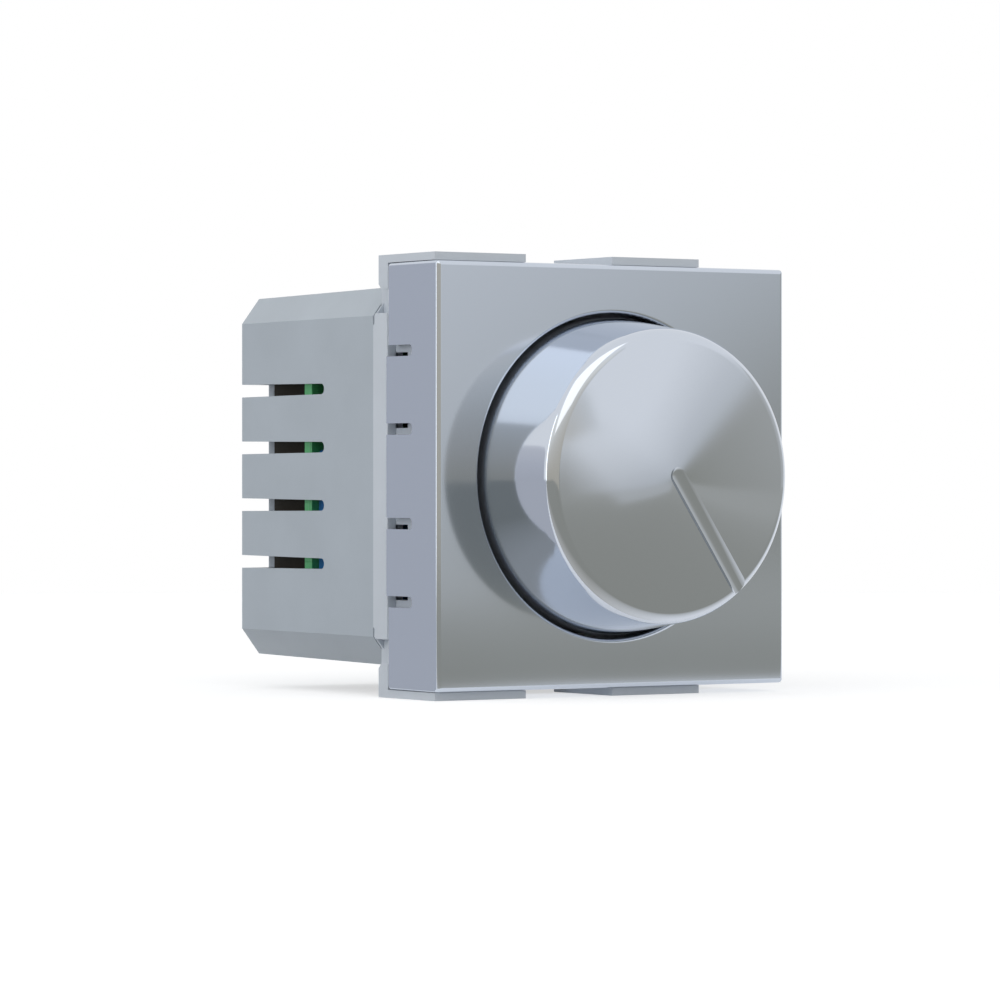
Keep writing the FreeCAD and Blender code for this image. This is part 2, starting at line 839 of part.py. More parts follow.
def knob():
    body = newBody("knob_cap")
    rim = size.knobDrop - size.knobFace
    roof = size.knobRoof - size.knobFace
    innerTip = knobTip - size.knobWall + size.tipThinner
    innerBase = knobBase - size.knobWall
    profile = newSketch(body, "XY_Plane", 0, "KnobProfile")
    polygon(profile, [(0, -size.knobFace), (knobTip, rim), (knobBase, 0), (knobBase, size.knobRear),
                      (innerBase, size.knobRear), (innerBase, 0), (innerTip, roof + size.roofFall),
                      (bossRadius, roof), (bossRadius, size.bossRear), (0, size.bossRear)])
    revolve(body, profile, "KnobTurned")
    ribs = across(body, size.ribRear, "RibOutline")
    rectangle(ribs, bossRadius - size.ribRoot, innerTip + size.ribRoot, -size.ribThick / 2, size.ribThick / 2)
    rib = pad(body, ribs, size.ribRear - roof + size.ribRoot, "Rib", inward=False)
    pattern = body.newObject("PartDesign::PolarPattern", "RibPattern")
    pattern.Originals = [rib]
    pattern.Axis = (plane(body, "Y_Axis"), [""])
    pattern.Angle = 360
    pattern.Occurrences = round(size.ribCount.value)
    pattern.setExpression("Occurrences", size.ribCount.text)
    body.Tip = pattern
    doc.recompute()
    socket = shaftSection(across(body, size.bossRear, "SocketOutline"), size.shaftRadius + size.fitGap,
                          size.shaftFlat + size.fitGap)
    socketed = pocket(body, socket, size.bossRear - shaftFront + size.socketDeep, "ShaftSocket", flip=True)
    edge = edgeNames(socketed, lambda item: onCircle(item, knobTip.value)
                     and abs(item.CenterOfMass.y - rim.value) < 1e-3)
    dress(body, socketed, "Fillet", size.knobEdge, edge, "KnobEdge")
    pointerGroove(body)
    turnToPointer(body)


def pointerGroove(body):
    """Shallow round-bottomed groove along the face cone, from just past the centre out to the rim."""
    slope = math.degrees(math.atan2(size.knobDrop.value, knobTip.value))
    cutter = (size.grooveWide * size.grooveWide / 4 + size.grooveDeep * size.grooveDeep) / (2 * size.grooveDeep)
    above = size.grooveDeep - size.knobFace - cutter
    for kind, name in (("Cylinder", "PointerGroove"), ("Sphere", "PointerEnd")):
        groove = body.newObject("PartDesign::Subtractive" + kind, name)
        groove.AttachmentSupport = (plane(body, "XY_Plane"), [""])
        groove.MapMode = "FlatFace"
        tie(groove, Radius=cutter)
        if kind == "Cylinder":
            tie(groove, Height=knobBase + size.groovePast)
        groove.AttachmentOffset = FreeCAD.Placement(FreeCAD.Vector(0, above.value, -size.groovePast.value),
                                                    FreeCAD.Rotation(FreeCAD.Vector(1, 0, 0), -slope))
        groove.setExpression("AttachmentOffset.Base.y", above.text)
        groove.setExpression("AttachmentOffset.Base.z", (-size.groovePast).text)
        doc.recompute()


def turnToPointer(feature):
    """Turn a piece of the knob from twelve o'clock to where the pointer stands at rest."""
    feature.Placement = FreeCAD.Placement(FreeCAD.Vector(), FreeCAD.Rotation(FreeCAD.Vector(0, 1, 0), 0))
    feature.Placement.Rotation.Axis = FreeCAD.Vector(0, 1, 0)
    feature.setExpression("Placement.Rotation.Angle", size.pointerDeg.text)
    return feature


def shaftSection(sketch, radius, flat):
    """Round section with one flat towards +Y of the sketch."""
    wide = math.sqrt(radius.value ** 2 - flat.value ** 2)
    start = math.atan2(flat.value, wide)
    sketch.addGeometry(Part.ArcOfCircle(Part.Circle(FreeCAD.Vector(), FreeCAD.Vector(0, 0, 1), radius.value),
                                        math.pi - start, 2 * math.pi + start))
    sketch.addGeometry(Part.LineSegment(FreeCAD.Vector(wide, flat.value, 0), FreeCAD.Vector(-wide, flat.value, 0)))
    sketch.addConstraint(Sketcher.Constraint("Coincident", 0, 2, 1, 1))
    sketch.addConstraint(Sketcher.Constraint("Coincident", 0, 1, 1, 2))
    sketch.addConstraint(Sketcher.Constraint("Coincident", 0, 3, -1, 1))
    sketch.addConstraint(Sketcher.Constraint("Horizontal", 1))
    index = sketch.addConstraint(Sketcher.Constraint("Radius", 0, radius.value))
    sketch.setExpression(f"Constraints[{index}]", radius.text)
    index = sketch.addConstraint(Sketcher.Constraint("DistanceY", -1, 1, 1, 1, flat.value))
    sketch.setExpression(f"Constraints[{index}]", flat.text)
    return sketch


def shaft():
    body = newBody("shaft")
    rod = circle(across(body, shaftFront, "ShaftSection"), 0, 0, size.shaftRadius)
    pad(body, rod, shaftStep - shaftFront, "ShaftRod")
    stem = shaftSection(across(body, shaftStep, "StemSection"), size.stemRadius, size.stemFlat)
    pad(body, stem, shaftRear - shaftStep, "Stem")
    side = size.shaftRadius + size.beyond
    flat = rectangle(across(body, shaftFront, "FlatOutline"), -side, side, size.shaftFlat, side)
    pocket(body, flat, size.bossRear + size.pushTravel - size.flatShort - shaftFront, "KnobFlat")
    turnToPointer(body)


def ringOf(name, outer, inner, front, rear):
    return cut(name, rodY(name + "Outer", 0, 0, outer, front, rear),
               [rodY(name + "Bore", 0, 0, inner, front, rear)])


def splitRing(label, outer, inner, front, rear, mouth, below):
    """Ring on the knob's axis with a mouth to one side, so that it springs on."""
    ring = ringOf(label + "Ring", outer, inner, front, rear)
    low, high = (-outer - size.beyond, 0) if below else (0, outer + size.beyond)
    opening = block(label + "Mouth", -mouth / 2, mouth / 2, front - size.beyond, rear + size.beyond, low, high)
    return keep(cut(label + "Solid", ring, [opening]), label)


def clipAndRing():
    rear = size.bossRear - size.clipBack
    inner = bossRadius + size.fitGap
    splitRing("knob_clip", inner + size.clipThick, inner, rear - size.clipWide, rear, size.clipMouth, False)
    front = controlRear + size.ringGap
    ring = splitRing("shaft_ring", size.stemRadius + size.ringWall, size.stemRadius, front,
                     front + size.ringThick, size.ringMouth, True)
    turnToPointer(ring)


def bushing():
    caseHalf = size.caseWide / 2
    bushFront = webFront - size.washerThick - size.nutThick - size.bushPast
    plate = block("BushPlate", -caseHalf, caseHalf, webRear, caseFront, -caseHalf, caseHalf)
    tube = rodY("BushTube", 0, 0, bushRadius, bushFront, caseFront)
    bore = rodY("BushBore", 0, 0, size.shaftRadius + size.fitGap, bushFront, caseFront)
    keep(cut("BushTurned", fuse("BushSolid", [plate, tube]), [bore]), "bushing_plate")
    washerFront = webFront - size.washerThick
    keep(ringOf("Washer", size.washerRadius, bushRadius + size.fitGap, washerFront, webFront), "bushing_washer")
    nut = doc.addObject("Part::Prism", "NutPrism")
    nut.Polygon = 6
    # a hexagon's corner radius is its half width over the cosine of 30 degrees
    tie(nut, Circumradius=size.nutFlats / 2 / math.cos(math.pi / 6), Height=size.nutThick)
    nut.Placement = FreeCAD.Placement(FreeCAD.Vector(), FreeCAD.Rotation(FreeCAD.Vector(1, 0, 0), -90))
    place(nut, 0, washerFront - size.nutThick, 0)
    bore = rodY("NutBore", 0, 0, bushRadius + size.fitGap, washerFront - size.nutThick, washerFront)
    keep(cut("Nut", nut, [bore]), "bushing_nut")


def dialCase():
    caseHalf = size.caseWide / 2
    case = block("CaseBlock", -caseHalf, caseHalf, caseFront, trackFront, -caseHalf, caseHalf)
    cavity = rodY("CaseCavity", 0, 0, caseBore, caseFront, trackFront)
    stop = doc.addObject("Part::Cylinder", "StopWedge")
    tie(stop, Radius=caseBore, Height=size.caseDeep, Angle=size.stopDeg)
    stop.Placement = FreeCAD.Placement(FreeCAD.Vector(), stopTurn(size.stopDeg.value))
    place(stop, 0, caseFront, 0)
    core = rodY("StopCore", 0, 0, rotorRadius + size.rimGap, caseFront, trackFront)
    hollow = cut("CaseHollow", cavity, [cut("CaseStop", stop, [core])])
    keep(cut("DialCase", case, [hollow]), "dial_case")
    track = block("TrackBlock", -caseHalf, caseHalf, trackFront, controlFront, -caseHalf, caseHalf)
    bore = rodY("TrackBore", 0, 0, size.stemRadius + size.trackGap, trackFront, controlFront)
    keep(cut("TrackBoard", track, [bore]), "track_board")


def stopTurn(wedge):
    """Turn of a wedge of a cylinder that makes it point down, with its axis along Y."""
    upright = FreeCAD.Rotation(FreeCAD.Vector(1, 0, 0), -90)
    return FreeCAD.Rotation(FreeCAD.Vector(0, 1, 0), 90 - wedge / 2).multiply(upright)


def rotor():
    """Rotor at its clockwise stop; its lug is made pointing down, then carried there."""
    disc = rodY("RotorDisc", 0, 0, rotorRadius, rotorFront, rotorRear)
    lug = doc.addObject("Part::Cylinder", "RotorLug")
    tie(lug, Radius=caseBore - size.lugGap, Height=rotorRear - rotorFront, Angle=size.lugDeg)
    lug.Placement = FreeCAD.Placement(FreeCAD.Vector(), stopTurn(size.lugDeg.value))
    place(lug, 0, rotorFront, 0)
    solid = fuse("RotorSolid", [disc, lug])
    fromStop = (size.stopDeg.value + size.lugDeg.value) / 2 + size.stopSlackDeg.value
    solid.Placement = FreeCAD.Placement(FreeCAD.Vector(), FreeCAD.Rotation(FreeCAD.Vector(0, 1, 0), -fromStop))
    stem = size.stemRadius + size.fitGap
    bore = rodY("RotorBore", 0, 0, stem, rotorFront, rotorRear)
    key = block("RotorKey", -stem, stem, rotorFront, rotorRear, size.stemFlat + size.fitGap, stem)
    hole = turnToPointer(cut("RotorHole", bore, [key]))
    keep(cut("RotorBored", solid, [hole]), "wiper_rotor")
    side = rotorRadius + size.beyond
    ring = ringOf("LeafRing", rotorRadius - size.leafInset, size.stemRadius + size.leafHole, rotorRear,
                  rotorRear + size.leafThick)
    trim = block("LeafTrim", -side, side, rotorFront, trackFront, -side, 0)
    leaf = cut("LeafPlate", ring, [trim])
    tips = [rodY(name, sign * (rotorRadius - size.tipInset), size.tipHigh, size.tipRadius, rotorRear, trackFront - size.fitGap)
            for name, sign in (("LeafTipRight", 1), ("LeafTipLeft", -1))]
    keep(fuse("Leaf", [leaf] + tips), "wiper_contact")


def controlBoard():
    body = newBody("control_board")
    outline = rectangle(across(body, controlFront, "ControlOutline"), -controlHalfWide, controlHalfWide,
                        controlLow, controlTop)
    pad(body, outline, size.controlThick, "ControlSheet")
    holes = across(body, controlFront, "ControlHoles")
    circle(holes, 0, 0, size.stemRadius + size.stemHole)
    for high in headerPlaces():
        circle(holes, headerAcross, high, size.pinRadius + 2 * size.fitGap)
    pocket(body, holes, size.controlThick, "ControlDrills")


def headerPlaces():
    """Z of each header pin, from the lowest."""
    return [size.headerLow + size.leadPitch * index for index in range(round(size.headerPins.value))]


def header():
    reach = size.headerWide / 2
    places = headerPlaces()
    strip = block("HeaderStrip", headerAcross - reach, headerAcross + reach, controlRear, boardFront,
                  places[0] - reach, places[-1] + reach)
    bores = []
    pins = []
    for index, high in enumerate(places):
        bores.append(rodY(f"HeaderBore{index}", headerAcross, high, size.pinRadius + size.fitGap, controlRear,
                          boardFront))
        pins.append(rodY(f"HeaderPin{index}", headerAcross, high, size.pinRadius,
                         controlFront + size.fitGap, boardRear + size.solderLong))
    keep(cut("HeaderDrilled", strip, bores), "board_header")
    keep(group("HeaderRow", pins), "header_pins")


def mainBoard():
    body = newBody("main_board")
    outline = octagon(across(body, boardFront, "BoardOutline"), boardHalfWide, boardHalfHigh,
                      size.boardCorner, size.boardCorner)
    pad(body, outline, size.boardThick, "BoardSheet")
    holes = across(body, boardFront, "BoardHoles")
    for high in headerPlaces():
        circle(holes, headerAcross, high, size.pinRadius + 2 * size.fitGap)
    for index in (-1, 0, 1):
        circle(holes, size.leadPitch * index, leadHigh, size.leadHole)
    pocket(body, holes, size.boardThick, "BoardDrills")
    slots = across(body, boardFront, "BoardSlots")
    reach = size.barPin + size.boardHoleGap
    for position in terminalPlaces():
        rectangle(slots, position - reach, position + reach, barLow - size.boardHoleGap,
                  barTop + size.boardHoleGap)
    pocket(body, slots, size.boardThick, "BoardCuts")


def pushSwitch():
    can = block("CanBlock", -size.canHalf, size.canHalf, canFront, boardFront, -size.canHalf, size.canHalf)
    collarFront = canFront + size.canWall
    collarRear = collarFront + size.collarThick
    collarRadius = size.canBore - size.collarGap
    cavity = rodY("CanCavity", 0, 0, size.canBore, collarFront, boardFront)
    bore = rodY("CanBore", 0, 0, size.plungerRadius + size.fitGap, canFront, boardFront)
    keep(cut("CanShell", can, [cavity, bore]), "switch_can")
    stem = rodY("PlungerStem", 0, 0, size.plungerRadius, shaftRear, collarRear)
    collar = rodY("PlungerCollar", 0, 0, collarRadius, collarFront, collarRear)
    keep(fuse("Plunger", [stem, collar]), "switch_plunger")
    spring = doc.addObject("Part::Feature", "Spring")
    spring.Shape = squareCoil(collarRear.value, boardFront.value, (collarRadius - size.springInset).value)
    keep(spring, "switch_spring")


def squareCoil(front, rear, middle):
    """Helix of square wire in straight steps, from one depth to another."""
    reach = size.springWire.value / 2
    steps = round(size.springSteps.value)
    turns = max(1, int((rear - front) / size.springPitch.value))
    count = steps * turns
    corners = ((-reach, -reach), (reach, -reach), (reach, reach), (-reach, reach))
    rings = []
    for index in range(count + 1):
        turn = 2 * math.pi * index / steps
        depth = front + reach + (rear - front - 2 * reach) * index / count
        rings.append([FreeCAD.Vector((middle + a) * math.cos(turn), depth + b, (middle + a) * math.sin(turn))
                      for a, b in corners])
    facets = [rings[0], rings[-1]]
    for ring, following in zip(rings, rings[1:]):
        for side in range(4):
            other = (side + 1) % 4
            facets.append([ring[side], ring[other], following[other]])
            facets.append([ring[side], following[other], following[side]])
    faces = [Part.Face(Part.makePolygon(points + points[:1])) for points in facets]
    solid = Part.Solid(Part.Shell(faces))
    solid.fix(1e-6, 1e-6, 1e-6)
    return solid


def terminalBlock():
    body = newBody("terminal_block")
    outline = across(body, blockFront, "BlockOutline")
    wide, low, top, corner = blockHalfWide, blockLow, blockTop, size.blockCorner
    polygon(outline, [(-wide, low + corner), (corner - wide, low), (wide - corner, low),
                      (wide, low + corner), (wide, top - corner), (wide - corner, top),
                      (corner - wide, top), (-wide, top - corner)])
    pad(body, outline, size.blockLong, "BlockSolid")
    posts = across(body, boardRear, "BoardPosts")
    for side in (-1, 1):
        for end in (-1, 1):
            circle(posts, side * (blockHalfWide - size.postInset), end * (blockTop - size.postDrop),
                   size.postRadius)
    pad(body, posts, size.postLong, "BoardPostRods")
    cavities = across(body, blockFront, "CageCavities")
    bars = across(body, cavityRear, "BarSeats")
    entries = across(body, cavityRear, "BlockEntries")
    ledges = newSketch(body, "XY_Plane", ledgeTop, "LedgeBores")
    heads = newSketch(body, "XY_Plane", ledgeLow, "HeadPockets")
    seat = size.barHalf + size.barGap
    for position in terminalPlaces():
        rectangle(cavities, position - cavityHalf, position + cavityHalf, ledgeTop, cageTop + size.cavityPlay)
        rectangle(bars, position - seat, position + seat, barLow - size.barGap, barTop + size.barGap)
        circle(entries, position, entryHigh, size.entryRadius)
        circle(ledges, position, screwDeep, size.threadRadius + 2 * size.fitGap)
        circle(heads, position, screwDeep, size.headRadius + size.headSide)
    pocket(body, cavities, cavityRear - blockFront, "CageCavity")
    pocket(body, bars, size.barSeat, "BarSeat")
    pocket(body, entries, size.cavityWall, "BlockEntry")
    pocket(body, ledges, size.ledgeThick, "LedgeBore")
    pocket(body, heads, ledgeLow - blockLow, "HeadPocket")


def terminals():
    bars = []
    for number, position in enumerate(terminalPlaces(), 1):
        front = blockFront + size.barInset
        wide = block(f"Bar{number}Wide", position - size.barHalf, position + size.barHalf, front,
                     cavityRear + size.barSeat, barLow, barTop)
        pin = block(f"Bar{number}Pin", position - size.barPin, position + size.barPin,
                    boardFront + size.barEnter, front + size.barRoot, barLow, barTop)
        bars.append(fuse(f"Bar{number}", [wide, pin]))
        terminalCage(number, position)
        terminalScrew(number, position)
    keep(group("BarRow", bars), "contact_bars")


def terminalCage(number, position):
    """Rising cage round a contact bar: its floor is the screw's nut, its roof clamps the wire."""
    front = screwDeep - size.cageLong / 2
    rear = front + size.cageLong
    inner = size.cageHalf - size.cageSide
    floor = cageLow + size.cageNut
    cage = block(f"Cage{number}Block", position - size.cageHalf, position + size.cageHalf, front, rear,
                 cageLow, cageTop)
    window = block(f"Cage{number}Window", position - inner, position + inner, front - size.beyond,
                   rear + size.beyond, floor, cageTop - size.cageRoof)
    thread = rodZ(f"Cage{number}Thread", position, screwDeep, size.threadRadius + size.fitGap,
                  cageLow - size.beyond, floor + size.beyond)
    keep(cut(f"Cage{number}", cage, [window, thread]), f"terminal_cage_{number}")


def terminalScrew(number, position):
    """Screw held captive by its head, which turns between the housing's wall and the block's ledge."""
    head = rodZ(f"Screw{number}Head", position, screwDeep, size.headRadius, headLow, headLow + size.headHigh)
    shank = rodZ(f"Screw{number}Shank", position, screwDeep, size.threadRadius, headLow, barLow - size.fitGap)
    reach = size.headRadius + size.beyond
    slot = block(f"Screw{number}Slot", position - reach, position + reach, screwDeep - size.slotWide / 2,
                 screwDeep + size.slotWide / 2, headLow - size.beyond, headLow + size.slotDeep)
    keep(cut(f"Screw{number}", fuse(f"Screw{number}Blank", [head, shank]), [slot]), f"terminal_screw_{number}")


def capacitor():
    left = size.capInset - boardHalfWide
    low = size.capFoot - boardHalfHigh
    box = block("CapBlock", left, left + size.capWide, boardFront - size.capDeep, boardFront, low,
                low + size.capHigh)
    doc.recompute()
    rounded = doc.addObject("Part::Fillet", "CapRounded")
    rounded.Base = box
    radius = size.capEdge.value
    rounded.Edges = [(index, radius, radius) for index, edge in enumerate(box.Shape.Edges, 1)
                     if edge.CenterOfMass.y < boardFront.value - 1e-3]
    doc.recompute()
    keep(rounded, "suppression_capacitor")


def choke():
    """Ring core lying on the board, with its turns as square loops round the ring."""
    rear = boardFront - size.wireThick
    front = rear - size.coreThick
    across, high = boardHalfWide - size.chokeInset, size.chokeInset - boardHalfHigh
    keep(cut("ChokeRing", rodY("CoreOuter", across, high, size.coreOuter, front, rear),
             [rodY("CoreBore", across, high, size.coreInner, front, rear)]), "choke_core")
    reach, gap = size.wireThick, size.fitGap
    outer = block("TurnOuter", size.coreInner - reach, size.coreOuter + reach, front - reach, rear + reach,
                  -size.wireHalf, size.wireHalf)
    inner = block("TurnInner", size.coreInner - gap, size.coreOuter + gap, front - gap, rear + gap,
                  -size.wireThick, size.wireThick)
    loop = cut("TurnLoop", outer, [inner])
    count = round(size.turnCount.value)
    shapes = []
    for index in range(count):
        turned = loop.Shape.copy()
        turned.rotate(FreeCAD.Vector(), FreeCAD.Vector(0, 1, 0),
                      size.windFromDeg.value + size.windOverDeg.value * index / (count - 1))
        turned.translate(FreeCAD.Vector(across.value, 0, high.value))
        shapes.append(turned)
    turns = doc.addObject("Part::Feature", "ChokeTurns")
    turns.Shape = Part.makeCompound(shapes)
    keep(turns, "choke_winding")


def triac():
    """Triac screwed under the heat sink, its leads soldered in the main board."""
    bodyRear = boardFront - size.triacStand
    bodyFront = bodyRear - size.triacLong
    screwAt = bodyFront + size.triacHoleBack
    sinkTop = sinkLow + size.sinkThick
    sink = block("SinkPlate", -size.sinkHalfWide, size.sinkHalfWide, bodyFront - size.sinkPast, boardFront,
                 sinkLow, sinkTop)
    hole = rodZ("SinkHole", 0, screwAt, size.triacScrew + size.fitGap, sinkLow, sinkTop)
    keep(cut("SinkDrilled", sink, [hole]), "heat_sink")
    low = sinkLow - size.triacThick
    moulding = block("TriacBody", -size.triacHalfWide, size.triacHalfWide, bodyFront, bodyRear, low, sinkLow)
    hole = rodZ("TriacHole", 0, screwAt, size.triacBore, low, sinkLow)
    keep(cut("TriacDrilled", moulding, [hole]), "triac")
    leads = []
    for index in (-1, 0, 1):
        middle = size.leadPitch * index
        leads.append(block(f"Lead{index + 2}", middle - size.legSlotWide / 2, middle + size.legSlotWide / 2,
                           bodyRear, boardRear + size.solderLong, leadHigh - size.legSlotHigh / 2,
                           leadHigh + size.legSlotHigh / 2))
    keep(group("LeadRow", leads), "triac_leads")
    headLow = low - size.triacHeadHigh
    head = rodZ("TriacScrewHead", 0, screwAt, size.triacHead, headLow, low)
    shank = rodZ("TriacScrewShank", 0, screwAt, size.triacScrew, headLow, sinkTop)
    keep(fuse("TriacScrew", [head, shank]), "triac_screw")


def smallComponents():
    base = boardFront
    keep(rodY("FuseCan", boardHalfWide - size.fuseInset, size.fuseHigh, size.fuseRadius, base - size.fuseTall,
              base), "radial_fuse")
    discRight = boardHalfWide - size.discInset
    discDeep = base - size.discRadius - size.discLegs
    disc = rodX("DiscBody", discDeep, size.discHigh, size.discRadius, discRight - size.discThick, discRight)
    legs = [rodY(name, discRight - size.discThick / 2, size.discHigh + sign * size.discPitch / 2,
                 size.leadRadius, discDeep, base) for name, sign in (("DiscLegLow", -1), ("DiscLegHigh", 1))]
    keep(fuse("Disc", [disc] + legs), "varistor")
    filmAcross = headerAcross + size.filmPast
    keep(block("Film", filmAcross - size.filmWide / 2, filmAcross + size.filmWide / 2, base - size.filmTall,
               base, size.filmHigh - size.filmThick / 2, size.filmHigh + size.filmThick / 2),
         "timing_capacitor")
    count = round(size.resistorCount.value)
    middle = headerAcross + size.resistorPast
    keep(group("ResistorRow", [rodY(f"Resistor{index}", middle + size.resistorPitch * (index - (count - 1) / 2),
                                    size.resistorHigh, size.resistorRadius, base - size.resistorLong, base)
                               for index in range(count)]), "resistors")
    keep(rodX("Diac", base - size.diacRadius, size.diacHigh, size.diacRadius,
              size.diacAcross - size.diacLong / 2, size.diacAcross + size.diacLong / 2), "diac")


frontPlate()
carrier()
rearHousing()
knob()
shaft()
bushing()
dialCase()
clipAndRing()
rotor()
controlBoard()
header()
mainBoard()
pushSwitch()
terminalBlock()
terminals()
capacitor()
choke()
triac()
smallComponents()
doc.recompute()

for item in doc.Objects:
    if "Invalid" in item.State or "Error" in item.State:
        raise RuntimeError(f"{item.Name} did not build: {item.State}")
for label, feature in pieces:
    if feature.Shape.isNull() or not feature.Shape.isValid():
        raise RuntimeError(f"{label} has no valid shape")

os.makedirs("parts", exist_ok=True)
for label, feature in pieces:
    feature.Shape.exportStep(f"parts/{label}.step")
    print(f"{label}: {len(feature.Shape.Solids)} solid, {feature.Shape.Volume:.1f} mm3")
print(f"{len(pieces)} pieces")
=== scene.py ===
# Rotary dimmer module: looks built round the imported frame, metres throughout
import json
import math

import bmesh
import bpy
from mathutils import Matrix, Vector


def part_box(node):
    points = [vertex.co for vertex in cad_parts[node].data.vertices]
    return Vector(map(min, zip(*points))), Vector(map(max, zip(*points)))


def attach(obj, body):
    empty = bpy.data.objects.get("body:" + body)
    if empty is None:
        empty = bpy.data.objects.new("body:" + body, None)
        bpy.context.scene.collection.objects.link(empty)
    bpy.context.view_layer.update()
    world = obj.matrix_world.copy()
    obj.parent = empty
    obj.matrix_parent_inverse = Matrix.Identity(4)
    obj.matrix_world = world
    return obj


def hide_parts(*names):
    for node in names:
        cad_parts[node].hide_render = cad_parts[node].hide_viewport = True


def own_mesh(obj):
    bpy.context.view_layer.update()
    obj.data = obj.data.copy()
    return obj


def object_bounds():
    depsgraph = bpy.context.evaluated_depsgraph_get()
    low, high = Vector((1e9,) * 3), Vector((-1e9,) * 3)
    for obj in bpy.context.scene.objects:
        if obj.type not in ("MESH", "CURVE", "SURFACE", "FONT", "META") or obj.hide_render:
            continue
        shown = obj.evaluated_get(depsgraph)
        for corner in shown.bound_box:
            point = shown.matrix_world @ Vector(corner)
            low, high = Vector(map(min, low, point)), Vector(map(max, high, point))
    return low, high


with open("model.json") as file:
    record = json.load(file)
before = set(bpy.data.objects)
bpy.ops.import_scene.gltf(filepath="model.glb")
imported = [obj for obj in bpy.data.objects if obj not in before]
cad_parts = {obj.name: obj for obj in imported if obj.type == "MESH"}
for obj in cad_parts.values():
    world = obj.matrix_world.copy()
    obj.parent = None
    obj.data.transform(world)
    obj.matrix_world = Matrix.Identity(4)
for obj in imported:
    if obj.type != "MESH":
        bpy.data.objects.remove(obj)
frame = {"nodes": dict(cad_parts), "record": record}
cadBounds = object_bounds()
cadNodes = frame["nodes"]
print("frame loaded:", len(cadNodes), "nodes")


def startMaterial(name):
    material = bpy.data.materials.new(name)
    material.use_nodes = True
    tree = material.node_tree
    shader = tree.nodes["Principled BSDF"]
    return material, tree, shader


def add(tree, kind, **sockets):
    node = tree.nodes.new(kind)
    for name, value in sockets.items():
        node.inputs[name.replace("_", " ")].default_value = value
    return node


def objectPoint(tree, stretch=(1, 1, 1)):  # metres on the piece, so patterns keep their real size
    coords = tree.nodes.new("ShaderNodeTexCoord")
    mapping = tree.nodes.new("ShaderNodeMapping")
    mapping.inputs["Scale"].default_value = stretch
    tree.links.new(coords.outputs["Object"], mapping.inputs["Vector"])
    return mapping.outputs["Vector"]


def noise(tree, point, scale, detail=3.0, rough=0.5):
    node = add(tree, "ShaderNodeTexNoise", Scale=scale, Detail=detail, Roughness=rough)
    tree.links.new(point, node.inputs["Vector"])
    return node.outputs["Fac"]


def ramp(tree, value, stops):
    node = tree.nodes.new("ShaderNodeValToRGB")
    steps = node.color_ramp.elements
    while len(steps) < len(stops):
        steps.new(0.5)
    for step, (place, colour) in zip(steps, stops):
        step.position = place
        step.color = (*colour, 1)
    tree.links.new(value, node.inputs["Fac"])
    return node.outputs["Color"]


def spread(tree, value, low, high, fromLow=0.3, fromHigh=0.7):  # noise stays mostly within 0.3 to 0.7
    node = add(tree, "ShaderNodeMapRange")
    for index, number in enumerate((fromLow, fromHigh, low, high)):
        node.inputs[index + 1].default_value = number
    tree.links.new(value, node.inputs["Value"])
    return node.outputs["Result"]


def bump(tree, shader, height, depth):
    node = add(tree, "ShaderNodeBump", Distance=depth)
    tree.links.new(height, node.inputs["Height"])
    tree.links.new(node.outputs["Normal"], shader.inputs["Normal"])


def shade(colour, share):
    return tuple(channel * share for channel in colour)


def mixColour(tree, share, first, second):
    node = tree.nodes.new("ShaderNodeMix")
    node.data_type = "RGBA"
    tree.links.new(share, node.inputs["Factor"])
    tree.links.new(first, node.inputs["A"])
    if isinstance(second, tuple):
        node.inputs["B"].default_value = (*second, 1)
    else:
        tree.links.new(second, node.inputs["B"])
    return node.outputs["Result"]


def silverLacquer(name, colour, rough, hole=None):
    material, tree, shader = startMaterial(name)
    point = objectPoint(tree)
    flakes = noise(tree, point, 9000, 2, 0.6)
    cloud = noise(tree, point, 60, 2)
    tone = ramp(tree, flakes, [(0.25, shade(colour, 0.985)), (0.75, shade(colour, 1.015))])
    shine = spread(tree, cloud, rough * 0.94, rough * 1.06)
    if hole:  # painted shade: darker colour where the piece goes into its hole, and also rougher there
        split = tree.nodes.new("ShaderNodeSeparateXYZ")
        tree.links.new(objectPoint(tree), split.inputs[0])
        deep = tree.nodes.new("ShaderNodeMapRange")
        deep.interpolation_type = "SMOOTHSTEP"
        for index, number in enumerate((hole["from"], hole["to"], 0, 1)):
            deep.inputs[index + 1].default_value = number
        tree.links.new(split.outputs["Y"], deep.inputs["Value"])
        # painted shade: the colour darkens into the hole
        tone = mixColour(tree, deep.outputs["Result"], tone, shade(colour, hole["darker"]))
        dull = tree.nodes.new("ShaderNodeMath")
        dull.operation = "MULTIPLY_ADD"
        dull.inputs[1].default_value = hole["rougher"]
        tree.links.new(deep.outputs["Result"], dull.inputs[0])
        tree.links.new(shine, dull.inputs[2])
        shine = dull.outputs[0]
    tree.links.new(tone, shader.inputs["Base Color"])
    tree.links.new(shine, shader.inputs["Roughness"])
    shader.inputs["Metallic"].default_value = 1.0
    bump(tree, shader, flakes, 0.0000006)
    return material


def mouldedPlastic(name, colour, rough, grain=5000, depth=0.000006, gloss=0.5):
    material, tree, shader = startMaterial(name)
    point = objectPoint(tree)
    fine = noise(tree, point, grain, 3, 0.6)
    cloud = noise(tree, point, 130, 3)
    tone = ramp(tree, cloud, [(0.3, shade(colour, 0.97)), (0.7, shade(colour, 1.03))])
    tree.links.new(tone, shader.inputs["Base Color"])
    tree.links.new(spread(tree, fine, rough * 0.9, rough * 1.1), shader.inputs["Roughness"])
    shader.inputs["Specular IOR Level"].default_value = gloss
    bump(tree, shader, fine, depth)
    return material


